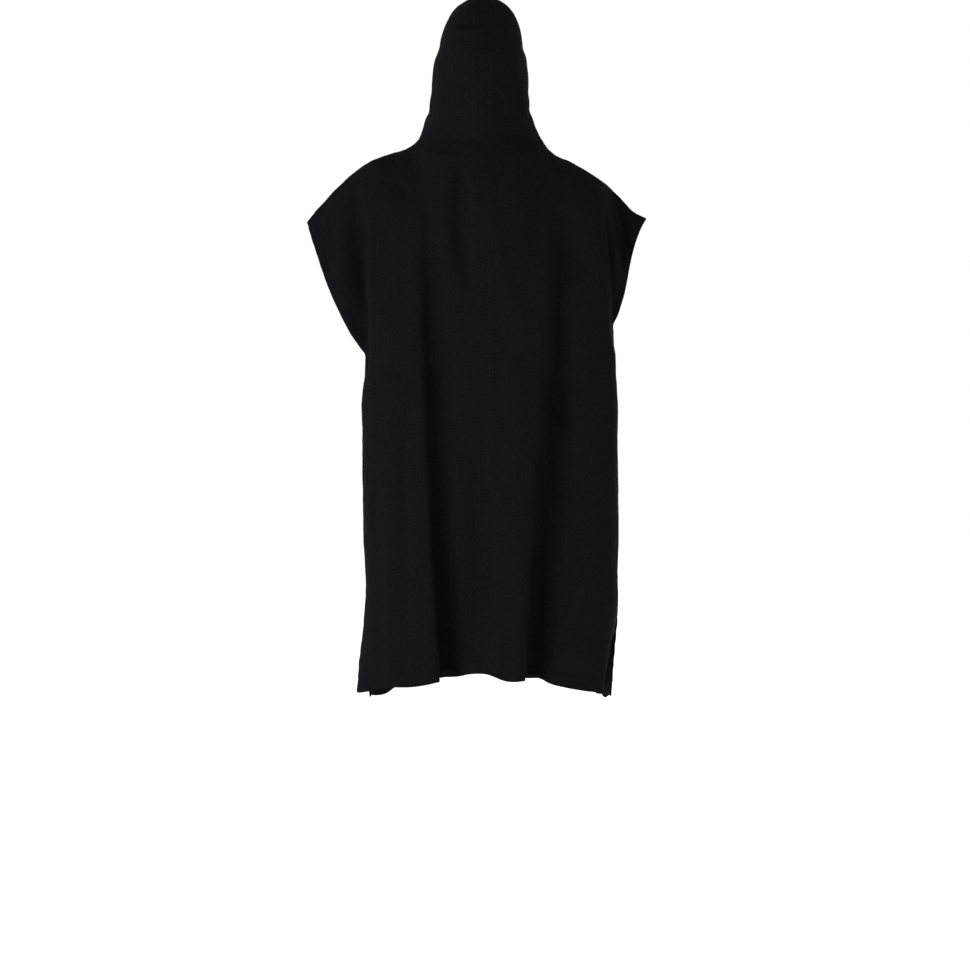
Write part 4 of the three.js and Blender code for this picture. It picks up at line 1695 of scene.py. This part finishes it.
@dataclass
class Poncho:
    """The whole garment: a back and a front panel and the two halves of the hood."""

    terry: Terry = Terry()
    thread: SewingThread = SewingThread()
    slow_ripple: float = 0.75
    quick_ripple: float = 0.28
    neck_rows: int = 20
    neck_passes: int = 200

    def panels(self, form: BodyForm) -> list[Panel]:
        """The two panels with their own folds."""
        back = Panel(
            name="back_panel_terry",
            side=Side.BACK,
            threads=BACK_THREADS,
            folds=BACK_FOLDS,
            sags=BACK_SAGS,
            left_corner=Corner(17, 16),
            right_corner=Corner(-34, 20),
            creases=BACK_CREASES,
            form=form,
        )
        front = Panel(
            name="front_panel_terry",
            side=Side.FRONT,
            threads=FRONT_THREADS,
            folds=FRONT_FOLDS,
            sags=FRONT_SAGS,
            left_corner=Corner(-4, 14),
            right_corner=Corner(-4, 10),
            creases=FRONT_CREASES,
            form=form,
        )
        return [back, front]

    def ease_neck(
        self, back: Sheet, front: Sheet, left: Sheet, right: Sheet, middle: int, quarter: int
    ) -> None:
        """Let the cloth bend softly across the neck seam, behind and on both sides of the face.

        Args:
            back: The back panel.
            front: The front panel.
            left: The left half of the hood.
            right: The right half of the hood.
            middle: The panels' middle column.
            quarter: Columns from the middle to a neck point.
        """
        bend = partial(ease_seam, rows=self.neck_rows, passes=self.neck_passes)
        behind = np.concatenate([right.points[:, -quarter - 1 :], left.points[:, 1 : quarter + 1]], axis=1)
        under = slice(middle - quarter, middle + quarter + 1)
        behind, back.points[:, under] = bend(behind, back.points[:, under])
        right.points[:, -quarter - 1 :] = behind[:, : quarter + 1]
        left.points[:, : quarter + 1] = behind[:, quarter:]
        for hood, beside, below in (
            (left, slice(quarter, None), slice(middle - quarter, middle + 1)),
            (right, slice(0, quarter + 1), slice(middle, middle + quarter + 1)),
        ):
            upper, lower = bend(hood.points[:, beside], front.points[:, below])
            hood.points[:, beside], front.points[:, below] = upper, lower

    def cloths(self) -> list[Cloth]:
        """The four pieces of cloth, not yet draped in detail."""
        panels = self.panels(BodyForm())
        flat = panels[0].columns()
        quarter = flat[(flat >= 0) & (flat <= CUT.half_neck)] / CUT.half_neck
        halves = [
            HoodHalf("hood_left_terry", Hand.LEFT, quarter),
            HoodHalf("hood_right_terry", Hand.RIGHT, quarter),
        ]
        sheets = [piece.sheet() for piece in (*panels, *halves)]
        self.ease_neck(*sheets, middle=len(flat) // 2, quarter=len(quarter) - 1)
        for sheet in sheets:
            sheet.normals = grid_normals(sheet.points)
        made = []
        for panel, sheet in zip(panels, sheets):
            creases = partial(crease_depth, panel.creases)
            made.append(Cloth(sheet, panel_borders(sheet, panel.rows()), creases))
        for half, sheet in zip(halves, sheets[2:]):
            made.append(Cloth(sheet, hood_borders(sheet, half.hand), hood_creases))
        return made

    def build(self) -> tuple[list[bpy.types.Object], list[Cloth], bpy.types.Object]:
        """Build the garment's pieces with their finishes.

        Returns:
            The cloth objects, their cloths, and the hem stitching.
        """
        cloths = self.cloths()
        seams = Seams([cloth.sheet for cloth in cloths])
        seams.share("normals")
        ripples = [
            (Ripples(seed=11, longest=150, shortest=70), self.slow_ripple),
            (Ripples(seed=23, longest=42, shortest=24), self.quick_ripple),
        ]
        for cloth in cloths:
            cloth.drape(ripples)
        seams.share("points")
        for cloth in cloths:
            cloth.sheet.normals = grid_normals(cloth.sheet.points)
        seams.share("normals")
        terry, thread = self.terry.material(), self.thread.material()
        made = []
        for cloth in cloths:
            cloth.close_seams()
            cloth.thicken()
            mesh = cloth.mesh()
            mesh.materials.append(terry)
            piece = put(cloth.sheet.name, mesh)
            made.append(piece)
            log.info("%s: %d faces, %.3f m2", piece.name, len(mesh.polygons), cloth.sheet.area() * MM * MM)
        lines = [line for cloth in cloths for line in cloth.stitch_lines()]
        stitching = HemStitching().make(lines, thread)
        log.info("%s: %d faces", stitching.name, len(stitching.data.polygons))
        return made, cloths, stitching


# The studio


@dataclass
class Studio:
    """A plain white floor in soft light, seen from straight behind the wearer."""

    table: LightTable = LightTable()
    floor_z: float = -1.573
    floor_half: float = 30.0
    camera_x: float = -0.0076
    camera_y: float = 4.5
    camera_z: float = -0.643
    lens: float = 87.8
    wall: float = 1.0
    ceiling: float = 0.55
    wall_top: float = 0.25
    ceiling_edge: float = 0.8
    key_place: tuple[float, float, float] = (2.0, 2.5, -1.0)
    key_watts: float = 108.0
    key_size: float = 1.5
    side_place: tuple[float, float, float] = (-2.6, 0.9, -0.9)
    side_watts: float = 13.0
    side_size: float = 1.2
    fill_place: tuple[float, float, float] = (-0.6, -4.8, -0.3)
    fill_watts: float = 200.0
    fill_size: float = 2.2
    aim: tuple[float, float, float] = (0.0, 0.0, -0.4)

    def floor(self) -> None:
        """Make the floor."""
        half, z = self.floor_half, self.floor_z
        corners = [(-half, -half, z), (half, -half, z), (half, half, z), (-half, half, z)]
        mesh = bpy.data.meshes.new("floor")
        mesh.from_pydata(corners, [], [(0, 1, 2, 3)])
        mesh.materials.append(self.table.material())
        made = put("floor", mesh)
        made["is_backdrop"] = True

    def surround(self) -> bpy.types.World:
        """A white surround, dimmer overhead."""
        world = bpy.data.worlds.new("studio")
        world.use_nodes = True
        tree = world.node_tree
        tree.nodes.clear()
        looked_along = add(tree, "ShaderNodeTexCoord").outputs["Generated"]
        height = add(tree, "ShaderNodeSeparateXYZ", {"Vector": looked_along}).outputs["Z"]
        strength = add(
            tree,
            "ShaderNodeMapRange",
            {
                "Value": height,
                "From Min": self.wall_top,
                "From Max": self.ceiling_edge,
                "To Min": self.wall,
                "To Max": self.ceiling,
            },
            interpolation_type="SMOOTHSTEP",
        ).outputs["Result"]
        around = add(tree, "ShaderNodeBackground", {"Color": (1.0, 1.0, 1.0, 1.0), "Strength": strength})
        add(tree, "ShaderNodeOutputWorld", {"Surface": around.outputs["Background"]})
        return world

    def light(self) -> None:
        """Set up the surround and soft lights behind the left shoulder, at the right and in front."""
        scene = bpy.context.scene
        scene.world = self.surround()
        scene.view_settings.view_transform = "Standard"
        for name, place, watts, size in (
            ("key", self.key_place, self.key_watts, self.key_size),
            ("side", self.side_place, self.side_watts, self.side_size),
            ("fill", self.fill_place, self.fill_watts, self.fill_size),
        ):
            lamp = bpy.data.lights.new(name, "AREA")
            lamp.energy = watts
            lamp.size = size
            made = put(name, lamp)
            made.location = place
            made.visible_camera = False
            made.rotation_euler = (Vector(self.aim) - Vector(place)).to_track_quat("-Z", "Y").to_euler()

    def camera(self) -> None:
        """Place the camera level, straight behind the wearer."""
        data = bpy.data.cameras.new("camera")
        data.lens = self.lens
        data.sensor_width = 36.0
        made = put("camera", data)
        made.location = (self.camera_x, self.camera_y, self.camera_z)
        made.rotation_euler = (math.pi / 2, 0.0, math.pi)
        bpy.context.scene.camera = made


# Width and length of the flat cloth that each piece is cut from, in metres
PANEL_FLAT = (0.78, 1.07)
HOOD_FLAT = (0.35, 0.33)


def corners(box: tuple[Sequence[float], Sequence[float]]) -> list[list[float]]:
    """A box's two corners as plain lists."""
    return [[float(value) for value in corner] for corner in box]


def main() -> None:
    """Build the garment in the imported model's frame and dress the studio."""
    logging.basicConfig(level=logging.INFO, format="%(name)s %(message)s")
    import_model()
    cad_box = corners(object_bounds())
    studio = Studio()
    studio.camera()
    studio.light()
    studio.floor()
    pieces, cloths, stitching = Poncho().build()
    nodes = ("back_panel", "front_panel", "hood_left", "hood_right")
    flats = (PANEL_FLAT, PANEL_FLAT, HOOD_FLAT, HOOD_FLAT)
    for piece, cloth, node, flat in zip(pieces, cloths, nodes, flats):
        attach(piece, "root")
        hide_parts(node)
        area = cloth.sheet.area() * MM * MM
        log.info("%s stands for %s", piece.name, node)
    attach(stitching, "root")
    sizes = {"cad": cad_box, "visual": corners(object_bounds())}


if __name__ == "__main__":
    main()
